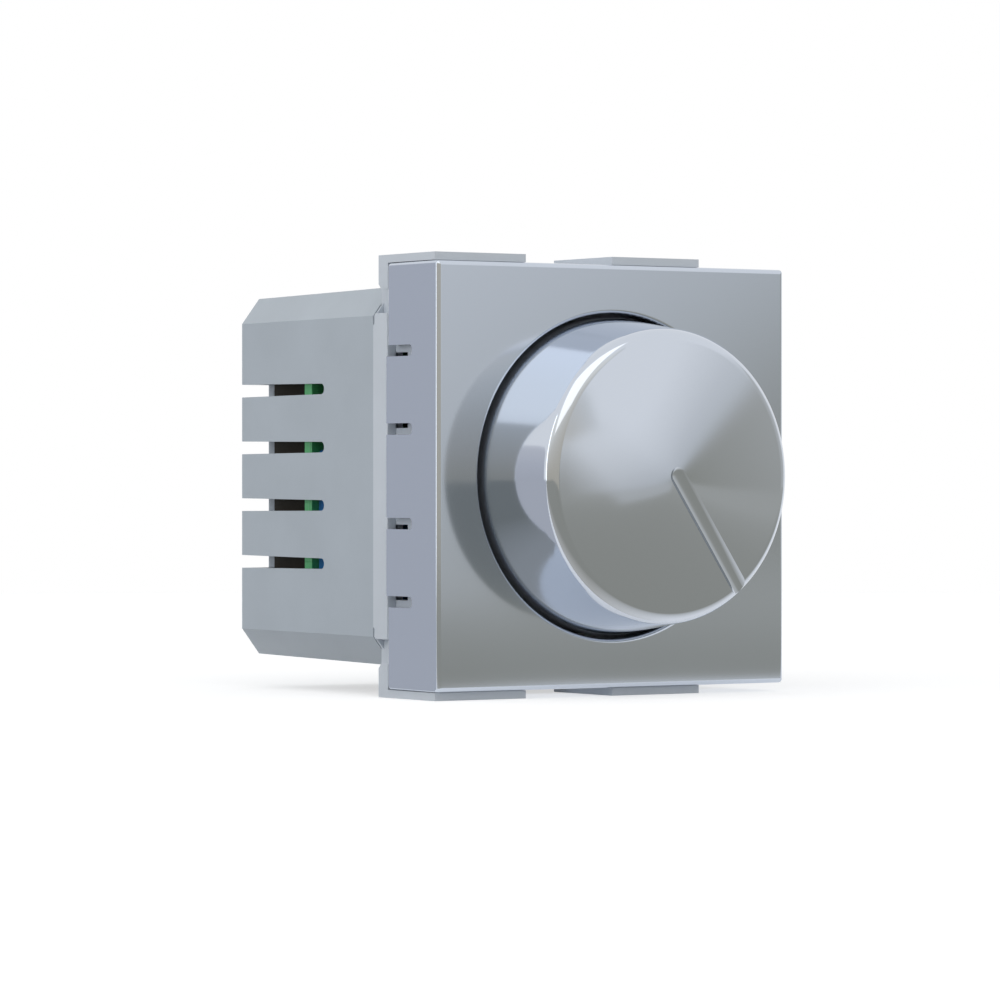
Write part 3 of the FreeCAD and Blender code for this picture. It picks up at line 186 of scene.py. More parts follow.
def plainMetal(name, colour, rough, stretch=(1, 1, 1)):
    material, tree, shader = startMaterial(name)
    point = objectPoint(tree, stretch)
    streaks = noise(tree, point, 2600, 4, 0.65)
    cloud = noise(tree, objectPoint(tree), 240, 3)
    tone = ramp(tree, cloud, [(0.3, shade(colour, 0.88)), (0.7, shade(colour, 1.06))])
    tree.links.new(tone, shader.inputs["Base Color"])
    tree.links.new(spread(tree, streaks, rough * 0.8, rough * 1.25), shader.inputs["Roughness"])
    shader.inputs["Metallic"].default_value = 1.0
    bump(tree, shader, streaks, 0.000002)
    return material


def greenBoard(name):  # copper areas show through the solder mask as a lighter green
    material, tree, shader = startMaterial(name)
    point = objectPoint(tree)
    tracks = add(tree, "ShaderNodeTexVoronoi", Scale=420.0, Randomness=0.55)
    tracks.distance = "CHEBYCHEV"
    tracks.feature = "F1"
    tree.links.new(point, tracks.inputs["Vector"])
    copper = spread(tree, tracks.outputs["Distance"], 0, 1, 0.36, 0.40)
    tone = ramp(tree, copper, [(0.0, (0.09, 0.50, 0.17)), (1.0, (0.07, 0.44, 0.145))])
    tree.links.new(tone, shader.inputs["Base Color"])
    shader.inputs["Roughness"].default_value = 0.28
    bump(tree, shader, copper, 0.00003)
    return material


# painted shade: the knob's colour darkens between these depths along its axis, towards its hole, and it gets
# rougher there too
knobHoleShadeAndRough = {"from": -0.0016, "to": 0.0012, "darker": 0.7, "rougher": 0.5}
finishes = {
    "front_plate": silverLacquer("plateLacquer", (0.56, 0.61, 0.69), 0.10),
    "knob_cap": silverLacquer("knobLacquer", (0.58, 0.625, 0.70), 0.07, knobHoleShadeAndRough),
    "carrier_frame": mouldedPlastic("carrierGrey", (0.58, 0.625, 0.68), 0.38),
    "rear_housing": mouldedPlastic("housingGrey", (0.42, 0.47, 0.52), 0.42),
    "shaft": plainMetal("shaftSteel", (0.62, 0.62, 0.62), 0.25, (1, 8, 1)),
    "bushing_plate": plainMetal("bushNickel", (0.66, 0.64, 0.60), 0.3),
    "terminal": plainMetal("zincSteel", (0.62, 0.62, 0.64), 0.32),
    "spring": plainMetal("springWire", (0.5, 0.5, 0.52), 0.28),
    "brass": plainMetal("turnedBrass", (0.75, 0.56, 0.27), 0.28),
    "tin": plainMetal("tinnedLead", (0.72, 0.72, 0.71), 0.22),
    "sink": plainMetal("rolledAluminium", (0.74, 0.75, 0.76), 0.3, (1, 12, 1)),
    "dial": mouldedPlastic("dialBlack", (0.03, 0.03, 0.032), 0.45),
    "ivory": mouldedPlastic("dialIvory", (0.62, 0.58, 0.46), 0.4),
    "track": mouldedPlastic("trackLaminate", (0.22, 0.12, 0.06), 0.5, 1800, 0.00001),
    "board": greenBoard("solderMask"),
    "header": mouldedPlastic("headerBlack", (0.02, 0.02, 0.021), 0.5),
    "block": mouldedPlastic("terminalBrown", (0.03, 0.024, 0.014), 0.6, gloss=0.2),
    "blue": mouldedPlastic("capacitorBlue", (0.05, 0.22, 0.55), 0.22, 900, 0.000008),
    "core": mouldedPlastic("corePowder", (0.55, 0.45, 0.05), 0.6, 2600, 0.00003),
    "copper": plainMetal("enamelCopper", (0.72, 0.30, 0.12), 0.2),
    "epoxy": mouldedPlastic("epoxyBlack", (0.022, 0.022, 0.024), 0.55),
    "fuse": mouldedPlastic("fuseBrown", (0.06, 0.03, 0.015), 0.3),
    "disc": mouldedPlastic("discBlue", (0.03, 0.10, 0.34), 0.25, 1200, 0.00001),
    "film": mouldedPlastic("filmRed", (0.38, 0.03, 0.02), 0.25, 900, 0.000008),
    "tan": mouldedPlastic("resistorTan", (0.50, 0.36, 0.19), 0.3, 1500, 0.00001),
    "glass": mouldedPlastic("diodeGlass", (0.42, 0.14, 0.05), 0.12, 1500, 0.000003),
}
wears = {
    "front_plate": "front_plate", "knob_cap": "knob_cap", "carrier_frame": "carrier_frame",
    "rear_housing": "rear_housing", "shaft": "shaft", "bushing_plate": "bushing_plate",
    "bushing_washer": "bushing_plate", "bushing_nut": "bushing_plate", "dial_case": "dial",
    "track_board": "track", "knob_clip": "spring", "shaft_ring": "spring", "wiper_rotor": "ivory",
    "wiper_contact": "brass", "control_board": "board", "board_header": "header", "header_pins": "tin",
    "main_board": "board", "switch_can": "dial", "switch_plunger": "ivory", "switch_spring": "spring",
    "terminal_block": "block", "contact_bars": "brass", "suppression_capacitor": "blue",
    "choke_core": "core", "choke_winding": "copper", "heat_sink": "sink", "triac": "epoxy",
    "triac_leads": "tin", "triac_screw": "terminal", "radial_fuse": "fuse", "varistor": "disc",
    "timing_capacitor": "film", "resistors": "tan", "diac": "glass",
}
for number in (1, 2, 3):
    wears[f"terminal_cage_{number}"] = "terminal"
    wears[f"terminal_screw_{number}"] = "terminal"
for name, finish in wears.items():
    cadNodes[name].material_slots[0].material = finishes[finish]
print("finishes on", len(wears), "nodes")


def bodyOf(name):
    return next(body for body, held in frame["record"]["behaviour"]["bodies"].items() if name in held)


def newPiece(name, mesh, node):
    piece = bpy.data.objects.new(name, mesh)
    bpy.context.scene.collection.objects.link(piece)
    mesh.materials.clear()
    mesh.materials.append(finishes[wears[node]])
    return piece


def settle(piece, node):
    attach(piece, bodyOf(node))
    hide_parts(node)


sameCorner = 0.000001  # corners nearer than this are one
shellLook = {
    "sharp": 28, "flat": 0.2,  # degrees: edges past the first stay sharp, faces within the second join
    "ledgeInner": 0.0209, "ledgeOuter": 0.02205, "ledgeFront": 0.0104, "ledgeHalf": 0.0173,
    "ledgeGap": 0.0003, "ledgeEdge": 0.00015,
}


def mergedCopy(node, name, look, extra=None):
    mesh = cadNodes[node].data.copy()
    mesh.name = name
    work = bmesh.new()
    work.from_mesh(mesh)
    bmesh.ops.remove_doubles(work, verts=work.verts, dist=sameCorner)
    bmesh.ops.dissolve_limit(work, angle_limit=math.radians(look["flat"]), verts=work.verts, edges=work.edges)
    if extra:
        extra(work, look)
    work.to_mesh(mesh)
    work.free()
    for face in mesh.polygons:
        face.use_smooth = True
    mesh.set_sharp_from_angle(angle=math.radians(look["sharp"]))
    piece = newPiece(name, mesh, node)
    piece.modifiers.new("evenShade", "WEIGHTED_NORMAL").keep_sharp = True
    settle(piece, node)


def sideLedges(work, look):  # light band that closes the slot between plate and housing
    inner, outer, front = look["ledgeInner"], look["ledgeOuter"], look["ledgeFront"]
    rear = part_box("rear_housing")[0].y - look["ledgeGap"]
    for side in (-1, 1):
        cube = bmesh.ops.create_cube(work, size=1)["verts"]
        middle = Matrix.Translation((side * (inner + outer) / 2, (front + rear) / 2, 0))
        sized = Matrix.Diagonal((outer - inner, rear - front, 2 * look["ledgeHalf"], 1))
        bmesh.ops.transform(work, matrix=middle @ sized, verts=cube)
        edges = {edge for corner in cube for edge in corner.link_edges}
        bmesh.ops.bevel(work, geom=list(edges), offset=look["ledgeEdge"], segments=2, affect="EDGES",
                        profile=0.5)


mergedCopy("front_plate", "plateShell", shellLook)
mergedCopy("carrier_frame", "carrierShell", shellLook, sideLedges)
mergedCopy("rear_housing", "housingShell", shellLook)
print("shells smoothed")

knobSizes = {
    "face": 0.01162, "drop": 0.0013, "tip": 0.01536, "base": 0.01685, "rear": 0.0034, "wall": 0.0015,
    "tipThinner": 0.00025, "roof": 0.0018, "roofFall": 0.0006, "boss": 0.0046, "bossRear": 0.0018,
    "edge": 0.00145, "edgeSteps": 12, "around": 192, "rings": 22, "skirtSteps": 10,
    "sharp": 12, "dome": 1.5, "faceLean": 1.2,  # dome is the power of the face's fall, the others degrees
    "ribRear": -0.0035, "ribThick": 0.001, "ribs": 6, "ribSink": 0.0002, "pointer": 143.0,
    "grooveWide": 0.00205, "grooveDeep": 0.00045, "groovePast": 0.002, "grooveSides": 48, "grooveRings": 12,
    "socket": 0.00305, "socketFlat": 0.00155, "socketPast": 0.0003, "socketRear": 0.001, "socketSides": 64,
}
nothing = 0.000001  # lengths under this count as none


def knobProfile(sizes):  # from the tip of the face, over the rim and skirt, to the boss inside
    tip = Vector((0, -sizes["face"]))
    rim = Vector((sizes["tip"], sizes["drop"] - sizes["face"]))
    foot = Vector((sizes["base"], 0))
    along = (rim - tip).normalized()
    down = (foot - rim).normalized()
    turn = along.angle(down)
    back = sizes["edge"] * math.tan(turn / 2)
    first = rim - along * back
    normal = Vector((along.y, -along.x))  # outward, to the front
    centre = first - normal * sizes["edge"]
    points = [tip + (first - tip) * (k / sizes["rings"]) for k in range(sizes["rings"])]
    for k in range(sizes["edgeSteps"] + 1):
        lean = turn * k / sizes["edgeSteps"]
        spoke = Matrix.Rotation(lean, 2) @ normal
        points.append(centre + spoke * sizes["edge"])
    last = points[-1]
    steps = sizes["skirtSteps"]
    points += [last + (foot - last) * (k / steps) for k in range(1, steps + 1)]
    roof = sizes["roof"] - sizes["face"]
    innerTip = sizes["tip"] - sizes["wall"] + sizes["tipThinner"]
    innerBase = sizes["base"] - sizes["wall"]
    inside = [(sizes["base"], sizes["rear"]), (innerBase, sizes["rear"]), (innerBase, 0),
              (innerTip, roof + sizes["roofFall"]), (sizes["boss"], roof),
              (sizes["boss"], sizes["bossRear"]), (0, sizes["bossRear"])]
    return points + [Vector(corner) for corner in inside]


def lathe(points, around):  # points are radius and depth, turned about the y axis
    work = bmesh.new()
    rings = []
    for point in points:
        if point.x < nothing:
            rings.append([work.verts.new((0, point.y, 0))])
            continue
        ring = []
        for k in range(around):
            angle = 2 * math.pi * k / around
            ring.append(work.verts.new((point.x * math.sin(angle), point.y, point.x * math.cos(angle))))
        rings.append(ring)
    for inner, outer in zip(rings, rings[1:]):
        for k in range(around):
            after = (k + 1) % around
            if len(inner) == 1:
                work.faces.new((inner[0], outer[after], outer[k]))
            elif len(outer) == 1:
                work.faces.new((inner[k], inner[after], outer[0]))
            else:
                work.faces.new((inner[k], inner[after], outer[after], outer[k]))
    bmesh.ops.recalc_face_normals(work, faces=work.faces)
    return work


def looseObject(name, work):
    mesh = bpy.data.meshes.new(name)
    work.to_mesh(mesh)
    work.free()
    thing = bpy.data.objects.new(name, mesh)
    bpy.context.scene.collection.objects.link(thing)
    return thing


def grooveCutter(sizes):  # a rod with a round inner end, laid along the pointer
    radius = (sizes["grooveWide"] ** 2 / 4 + sizes["grooveDeep"] ** 2) / (2 * sizes["grooveDeep"])
    slope = math.atan2(sizes["drop"], sizes["tip"])
    work = bmesh.new()
    steps = sizes["grooveSides"]
    rows = []
    for k in range(sizes["grooveRings"] + 1):  # round end, from its pole to its equator
        lift = math.pi / 2 * k / sizes["grooveRings"]
        rows.append((-radius * math.cos(lift), radius * math.sin(lift)))
    rows.append((sizes["base"] + sizes["groovePast"], radius))
    turns = [2 * math.pi * k / steps for k in range(steps)]
    rings = []
    for height, wide in rows:
        if wide < nothing:
            rings.append([work.verts.new((0, 0, height))])
            continue
        rings.append([work.verts.new((wide * math.cos(turn), wide * math.sin(turn), height))
                      for turn in turns])
    for lower, upper in zip(rings, rings[1:]):
        for k in range(steps):
            after = (k + 1) % steps
            if len(lower) == 1:
                work.faces.new((lower[0], upper[k], upper[after]))
            else:
                work.faces.new((lower[k], lower[after], upper[after], upper[k]))
    work.faces.new(rings[-1])
    bmesh.ops.recalc_face_normals(work, faces=work.faces)
    lean = Matrix.Rotation(-slope, 4, "X")
    lift = Matrix.Translation((0, sizes["grooveDeep"] - sizes["face"] - radius, 0))
    turn = Matrix.Rotation(math.radians(sizes["pointer"]), 4, "Y")
    work.transform(turn @ lift @ lean)
    return looseObject("grooveCutter", work)


def ribSet(sizes):  # ribs behind the roof, from the boss to the skirt
    work = bmesh.new()
    roof = sizes["roof"] - sizes["face"]
    sink = sizes["ribSink"]
    low, high = sizes["boss"] - sink, sizes["tip"] - sizes["wall"] + sizes["tipThinner"] + sink
    for k in range(sizes["ribs"]):
        cube = bmesh.ops.create_cube(work, size=1)["verts"]
        middle = Matrix.Translation(((low + high) / 2, (sizes["ribRear"] + roof - sink) / 2, 0))
        sized = Matrix.Diagonal((high - low, sizes["ribRear"] - roof + sink, sizes["ribThick"], 1))
        turn = Matrix.Rotation(math.radians(sizes["pointer"] + 360 / sizes["ribs"] * k), 4, "Y")
        bmesh.ops.transform(work, matrix=turn @ middle @ sized, verts=cube)
    return looseObject("ribSet", work)


def shaftSocket(sizes):  # round with one flat, as the shaft is
    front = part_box("shaft")[0].y - sizes["socketPast"]
    radius, flat, steps = sizes["socket"], sizes["socketFlat"], sizes["socketSides"]
    turns = [2 * math.pi * k / steps for k in range(steps)]
    work = bmesh.new()
    rings = []
    for depth in (front, sizes["bossRear"] + sizes["socketRear"]):
        rings.append([work.verts.new((radius * math.sin(turn), depth, min(radius * math.cos(turn), flat)))
                      for turn in turns])
    for k in range(steps):
        after = (k + 1) % steps
        work.faces.new((rings[0][k], rings[0][after], rings[1][after], rings[1][k]))
    work.faces.new(rings[0])
    work.faces.new(rings[1])
    bmesh.ops.recalc_face_normals(work, faces=work.faces)
    return looseObject("shaftSocket", work)


def carve(thing, tool, operation):
    step = thing.modifiers.new("carve", "BOOLEAN")
    step.operation = operation
    step.solver = "EXACT"
    step.object = tool
    done = bpy.data.meshes.new_from_object(thing.evaluated_get(bpy.context.evaluated_depsgraph_get()))
    thing.modifiers.clear()
    thing.data = done
    bpy.data.objects.remove(tool)


def makeKnob(sizes):
    shell = looseObject("knobShell", lathe(knobProfile(sizes), sizes["around"]))
    carve(shell, ribSet(sizes), "UNION")
    carve(shell, grooveCutter(sizes), "DIFFERENCE")
    carve(shell, shaftSocket(sizes), "DIFFERENCE")
    mesh = shell.data
    bpy.data.objects.remove(shell)
    for face in mesh.polygons:
        face.use_smooth = True
    mesh.set_sharp_from_angle(angle=math.radians(sizes["sharp"]))
    domeNormals(mesh, sizes)
    settle(newPiece("knobCap", mesh, "knob_cap"), "knob_cap")


def domeNormals(mesh, sizes):  # the face shades as a shallow dome, flatter at its middle
    slope = math.atan2(sizes["drop"], sizes["tip"])
    rimHeight = sizes["drop"] - sizes["face"]
    normals = []
    for face in mesh.polygons:
        middle = face.center
        flat = Vector((middle.x, 0, middle.z))
        onCone = nothing < flat.length < sizes["tip"] and middle.y < rimHeight
        if onCone:
            cone = flat.normalized() * math.sin(slope) - Vector((0, math.cos(slope), 0))
            onCone = cone.dot(face.normal) > math.cos(math.radians(sizes["faceLean"]))
        for loop in face.loop_indices:
            point = mesh.vertices[mesh.loops[loop].vertex_index].co
            spoke = Vector((point.x, 0, point.z))
            if onCone:
                lean = slope * sizes["dome"] * (spoke.length / sizes["tip"]) ** (sizes["dome"] - 1)
                spoke = spoke.normalized() if spoke.length > nothing else flat.normalized()
                normals.append(spoke * math.sin(lean) - Vector((0, math.cos(lean), 0)))
            else:
                normals.append(Vector((0, 0, 0)))
    mesh.normals_split_custom_set(normals)


makeKnob(knobSizes)
print("knob turned and grooved")


def startGrowth(name, numbers):  # a node tree with one named input for each number
    tree = bpy.data.node_groups.new(name, "GeometryNodeTree")
    face = tree.interface
    face.new_socket("Geometry", in_out="OUTPUT", socket_type="NodeSocketGeometry")
    face.new_socket("Geometry", in_out="INPUT", socket_type="NodeSocketGeometry")
    for label, value in numbers.items():
        kind = "NodeSocketInt" if isinstance(value, int) else "NodeSocketFloat"
        face.new_socket(label, in_out="INPUT", socket_type=kind)
    face.new_socket("Finish", in_out="INPUT", socket_type="NodeSocketMaterial")
    return tree, tree.nodes.new("NodeGroupInput"), tree.nodes.new("NodeGroupOutput")


def place(tree, source, turn=(0, 0, 0), move=(0, 0, 0)):
    node = tree.nodes.new("GeometryNodeTransform")
    node.inputs["Rotation"].default_value = turn
    node.inputs["Translation"].default_value = move
    tree.links.new(source, node.inputs["Geometry"])
    return node


def finishGrowth(tree, source, given, out, smooth=True):
    real = tree.nodes.new("GeometryNodeRealizeInstances")
    soft = tree.nodes.new("GeometryNodeSetShadeSmooth")
    soft.inputs["Shade Smooth"].default_value = smooth
    coat = tree.nodes.new("GeometryNodeSetMaterial")
    tree.links.new(source, real.inputs[0])
    tree.links.new(real.outputs[0], soft.inputs["Geometry"])
    tree.links.new(soft.outputs[0], coat.inputs["Geometry"])
    tree.links.new(given.outputs["Finish"], coat.inputs["Material"])
    tree.links.new(coat.outputs[0], out.inputs[0])


def calculate(tree, operation, first, second):
    node = tree.nodes.new("ShaderNodeMath")
    node.operation = operation
    for socket, value in zip(node.inputs, (first, second)):
        if isinstance(value, (int, float)):
            socket.default_value = value
        else:
            tree.links.new(value, socket)
    return node.outputs[0]


def grow(name, tree, numbers, finish, points=()):  # runs the tree once and keeps its mesh
    seed = bpy.data.meshes.new(name + "Seed")
    seed.from_pydata(list(points), [], [])
    thing = bpy.data.objects.new(name, seed)
    bpy.context.scene.collection.objects.link(thing)
    step = thing.modifiers.new("grow", "NODES")
    step.node_group = tree
    values = dict(numbers, Finish=finish)
    for socket in tree.interface.items_tree:
        if socket.in_out == "INPUT" and socket.name in values:
            step[socket.identifier] = values[socket.name]
    bpy.context.view_layer.update()
    done = bpy.data.meshes.new_from_object(thing.evaluated_get(bpy.context.evaluated_depsgraph_get()))
    thing.modifiers.clear()
    thing.data = done
    done.name = name
    return thing


coilSizes = {"Turns": 5.6, "Radius": 0.0023, "Wire": 0.00022}  # Wire is half the wire's width


def makeCoil(sizes):
    low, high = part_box("switch_spring")
    numbers = dict(sizes, Height=high.y - low.y - 2 * sizes["Wire"])
    tree, given, out = startGrowth("coilTree", numbers)
    spiral = add(tree, "GeometryNodeCurveSpiral", Resolution=28)
    for label, socket in (("Turns", "Rotations"), ("Radius", "Start Radius"), ("Radius", "End Radius"),
                          ("Height", "Height")):
        tree.links.new(given.outputs[label], spiral.inputs[socket])
    section = add(tree, "GeometryNodeCurvePrimitiveCircle", Resolution=12)
    tree.links.new(given.outputs["Wire"], section.inputs["Radius"])
    tube = add(tree, "GeometryNodeCurveToMesh", Fill_Caps=True)
    tree.links.new(spiral.outputs[0], tube.inputs["Curve"])
    tree.links.new(section.outputs[0], tube.inputs["Profile Curve"])
    laid = place(tree, tube.outputs[0], (-math.pi / 2, 0, 0), (0, low.y + sizes["Wire"], 0))
    finishGrowth(tree, laid.outputs[0], given, out)
    coil = grow("switchCoil", tree, numbers, finishes["spring"])
    settle(coil, "switch_spring")
    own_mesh(coil)


windingSizes = {
    "Turns": 18, "From": 20.0, "Over": 320.0, "Wire": 0.00021, "Inner": 0.0026, "Gap": 0.00005,
    "Bend": 0.0003, "BendSteps": 3, "Layers": 2, "LayerTurn": 4.5,
}


def makeWinding(sizes):
    low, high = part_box("choke_core")
    outer = (high.x - low.x) / 2
    inner, tall = sizes["Inner"], high.y - low.y
    middle = (low + high) / 2
    numbers = {"Turns": sizes["Turns"], "From": math.radians(sizes["From"]), "Wire": sizes["Wire"],
               "Step": math.radians(sizes["Over"]) / (sizes["Turns"] - 1)}
    tree, given, out = startGrowth("windingTree", numbers)
    section = add(tree, "GeometryNodeCurvePrimitiveCircle", Resolution=8)
    tree.links.new(given.outputs["Wire"], section.inputs["Radius"])
    layers = tree.nodes.new("GeometryNodeJoinGeometry")
    for layer in range(sizes["Layers"]):
        off = sizes["Gap"] + sizes["Wire"] * (1 + 2 * layer)
        loop = add(tree, "GeometryNodeCurvePrimitiveQuadrilateral", Width=outer - inner + 2 * off,
                   Height=tall + 2 * off)
        bend = tree.nodes.new("GeometryNodeFilletCurve")
        bend.mode = "POLY"
        bend.inputs["Count"].default_value = sizes["BendSteps"]
        bend.inputs["Radius"].default_value = sizes["Bend"] + 2 * layer * sizes["Wire"]
        tube = tree.nodes.new("GeometryNodeCurveToMesh")
        tree.links.new(loop.outputs[0], bend.inputs["Curve"])
        tree.links.new(bend.outputs[0], tube.inputs["Curve"])
        tree.links.new(section.outputs[0], tube.inputs["Profile Curve"])
        stood = place(tree, tube.outputs[0], (math.pi / 2, 0, 0), ((outer + inner) / 2, 0, 0))
        leant = place(tree, stood.outputs[0], (0, 0, math.radians(sizes["LayerTurn"]) * layer))
        tree.links.new(leant.outputs[0], layers.inputs[0])
    line = add(tree, "GeometryNodeMeshLine", Offset=(0, 0, 0))
    tree.links.new(given.outputs["Turns"], line.inputs["Count"])
    index = tree.nodes.new("GeometryNodeInputIndex")
    turn = calculate(tree, "ADD", calculate(tree, "MULTIPLY", index.outputs[0], given.outputs["Step"]),
                     given.outputs["From"])
    angles = tree.nodes.new("ShaderNodeCombineXYZ")
    tree.links.new(turn, angles.inputs["Z"])
    euler = tree.nodes.new("FunctionNodeEulerToRotation")
    tree.links.new(angles.outputs[0], euler.inputs[0])
    spots = tree.nodes.new("GeometryNodeInstanceOnPoints")
    tree.links.new(line.outputs[0], spots.inputs["Points"])
    tree.links.new(layers.outputs[0], spots.inputs["Instance"])
    tree.links.new(euler.outputs[0], spots.inputs["Rotation"])
    laid = place(tree, spots.outputs[0], (-math.pi / 2, 0, 0), middle)
    finishGrowth(tree, laid.outputs[0], given, out)
    settle(grow("chokeTurns", tree, numbers, finishes["copper"]), "choke_winding")


beadSizes = {"Foot": 0.00085, "Neck": 0.00042, "Height": 0.00045}


def rodCentres(node):  # across and up, of each separate rod of the node
    work = bmesh.new()
    work.from_mesh(cadNodes[node].data)
    bmesh.ops.remove_doubles(work, verts=work.verts, dist=sameCorner)
    left = set(work.verts)
    centres = []
    while left:
        rod = [left.pop()]
        for corner in rod:
            for edge in corner.link_edges:
                other = edge.other_vert(corner)
                if other in left:
                    left.remove(other)
                    rod.append(other)
        across = [corner.co.x for corner in rod]
        high = [corner.co.z for corner in rod]
        centres.append(((min(across) + max(across)) / 2, (min(high) + max(high)) / 2))
    work.free()
    return sorted(centres)


def makeBeads(sizes):
    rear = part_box("main_board")[1].y
    points = [(x, rear, z) for node in ("header_pins", "triac_leads") for x, z in rodCentres(node)]
    tree, given, out = startGrowth("beadTree", sizes)
    cone = add(tree, "GeometryNodeMeshCone", Vertices=18, Side_Segments=3)
    for label, socket in (("Foot", "Radius Bottom"), ("Neck", "Radius Top"), ("Height", "Depth")):
        tree.links.new(given.outputs[label], cone.inputs[socket])
    stood = place(tree, cone.outputs[0], (-math.pi / 2, 0, 0))
    spots = tree.nodes.new("GeometryNodeInstanceOnPoints")
    tree.links.new(given.outputs["Geometry"], spots.inputs["Points"])
    tree.links.new(stood.outputs[0], spots.inputs["Instance"])
    finishGrowth(tree, spots.outputs[0], given, out, False)
    beads = grow("solderBeads", tree, sizes, finishes["tin"], points)
    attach(beads, "base")
    print("solder beads:", len(points))


makeCoil(coilSizes)
makeWinding(windingSizes)
makeBeads(beadSizes)
print("coil, winding and beads grown")


def plainlySeen(tree):  # 1 for rays that show the white background, 0 for those that light the module
    path = tree.nodes.new("ShaderNodeLightPath")
    seen = calculate(tree, "MAXIMUM", path.outputs["Is Camera Ray"], path.outputs["Is Glossy Ray"])
    return calculate(tree, "MAXIMUM", seen, path.outputs["Is Transmission Ray"])


def bareMaterial(name):
    material = bpy.data.materials.new(name)
    material.use_nodes = True
    material.node_tree.nodes.clear()
    return material, material.node_tree


def glowOnly(tree, tone):
    glow = tree.nodes.new("ShaderNodeEmission")
    out = tree.nodes.new("ShaderNodeOutputMaterial")
    tree.links.new(tone, glow.inputs["Color"])
    tree.links.new(glow.outputs[0], out.inputs[0])


studio = {
    "fill": 0.66, "floorRadius": 0.45, "floorBack": 0.012, "floorDrop": 0.00002,
    "floorGlow": 0.55, "floorColour": (0.62, 0.62, 0.62),
}


def makeWorld(sizes):
    world = bpy.data.worlds.new("paleStudio")
    bpy.context.scene.world = world
    world.use_nodes = True
    tree = world.node_tree
    tree.nodes.clear()
    shown = add(tree, "ShaderNodeBackground", Color=(1, 1, 1, 1), Strength=1.0)
    fill = add(tree, "ShaderNodeBackground", Color=(0.96, 0.98, 1.0, 1), Strength=sizes["fill"])
    mix = tree.nodes.new("ShaderNodeMixShader")
    out = tree.nodes.new("ShaderNodeOutputWorld")
    tree.links.new(plainlySeen(tree), mix.inputs[0])
    tree.links.new(fill.outputs[0], mix.inputs[1])
    tree.links.new(shown.outputs[0], mix.inputs[2])
    tree.links.new(mix.outputs[0], out.inputs[0])


def makeFloor(sizes):
    work = bmesh.new()
    bmesh.ops.create_circle(work, cap_ends=True, segments=96, radius=sizes["floorRadius"])
    work.transform(Matrix.Translation((0, sizes["floorBack"], cadBounds[0][2] - sizes["floorDrop"])))
    floor = looseObject("floor", work)
    material, tree = bareMaterial("floorPaper")
    diffuse = add(tree, "ShaderNodeBsdfDiffuse", Color=(*sizes["floorColour"], 1))
    glow = add(tree, "ShaderNodeEmission", Color=(1, 1, 1, 1), Strength=sizes["floorGlow"])
    both = tree.nodes.new("ShaderNodeAddShader")
    mix = tree.nodes.new("ShaderNodeMixShader")
    out = tree.nodes.new("ShaderNodeOutputMaterial")
    tree.links.new(diffuse.outputs[0], both.inputs[0])
    tree.links.new(glow.outputs[0], both.inputs[1])
    tree.links.new(plainlySeen(tree), mix.inputs[0])
    tree.links.new(diffuse.outputs[0], mix.inputs[1])
    tree.links.new(both.outputs[0], mix.inputs[2])
    tree.links.new(mix.outputs[0], out.inputs[0])
    floor.data.materials.append(material)


def reflectionOnly(thing):  # shows in the lacquer, and neither lights nor shades anything
    thing.visible_camera = False
    thing.visible_diffuse = False
    thing.visible_shadow = False
    thing.visible_transmission = False


tableSpan = (-0.1, 0.3)  # the stops of a table lie between these places across


def makeTable(name, table):
    work = bmesh.new()
    high = cadBounds[0][2] + table["lift"]
    work.faces.new([work.verts.new((x, y, high)) for x, y in table["outline"]])
    sheet = looseObject(name, work)
    material, tree = bareMaterial(name)
    split = tree.nodes.new("ShaderNodeSeparateXYZ")
    tree.links.new(objectPoint(tree), split.inputs[0])
    across = spread(tree, split.outputs["X"], 0, 1, *tableSpan)

    def tones(stops):
        low, high = tableSpan
        return ramp(tree, across, [((x - low) / (high - low), colour) for x, colour in stops])

    tone = tones(table["stops"])
    if "soft" in table:  # changes to its near tones towards the module
        fade = spread(tree, split.outputs["Y"], 0, 1, *table["soft"])
        tone = mixColour(tree, fade, tone, tones(table["near"]))
    glowOnly(tree, tone)
    sheet.data.materials.append(material)
    reflectionOnly(sheet)


def makeCard(name, card):  # angles are in degrees as seen from the module
    toward = Vector(card["toward"]).normalized()
    up = Vector((0, 0, 1))
    side = up.cross(toward)
    turn = Matrix.Rotation(math.radians(card["tilt"]), 3, toward)
    side, up = turn @ side, turn @ up
    far = card["distance"]
    sides = [far * math.tan(math.radians(angle)) for angle in card["half"]]
    reach = [far * math.tan(math.radians(angle)) for angle in card["reach"]]
    work = bmesh.new()
    layer = work.loops.layers.uv.new("UVMap")
    shares = ((0, 0), (1, 0), (1, 1), (0, 1))
    face = work.faces.new([work.verts.new(toward * far + side * sides[a] + up * reach[b]) for a, b in shares])
    for loop, corner in zip(face.loops, shares):
        loop[layer].uv = corner
    piece = looseObject(name, work)
    material, tree = bareMaterial(name + "Glow")
    coords = tree.nodes.new("ShaderNodeTexCoord")
    split = tree.nodes.new("ShaderNodeSeparateXYZ")
    tree.links.new(coords.outputs["UV"], split.inputs[0])

    def share(angle, ends):
        return (far * math.tan(math.radians(angle)) - ends[0]) / (ends[1] - ends[0])

    def levels(stops):  # grey levels by the angle to the side
        return ramp(tree, split.outputs["X"], [(share(angle, sides), (level,) * 3) for angle, level in stops])

    tone = ramp(tree, split.outputs["Y"], [(share(angle, reach), colour) for angle, colour in card["stops"]])
    tone = mixColour(tree, levels(card["fade"]), tone, card["beyond"])
    if "left" in card:
        tone = mixColour(tree, levels(card["left"]), tone, card["leftTone"])
    glowOnly(tree, tone)
    piece.data.materials.append(material)
    reflectionOnly(piece)


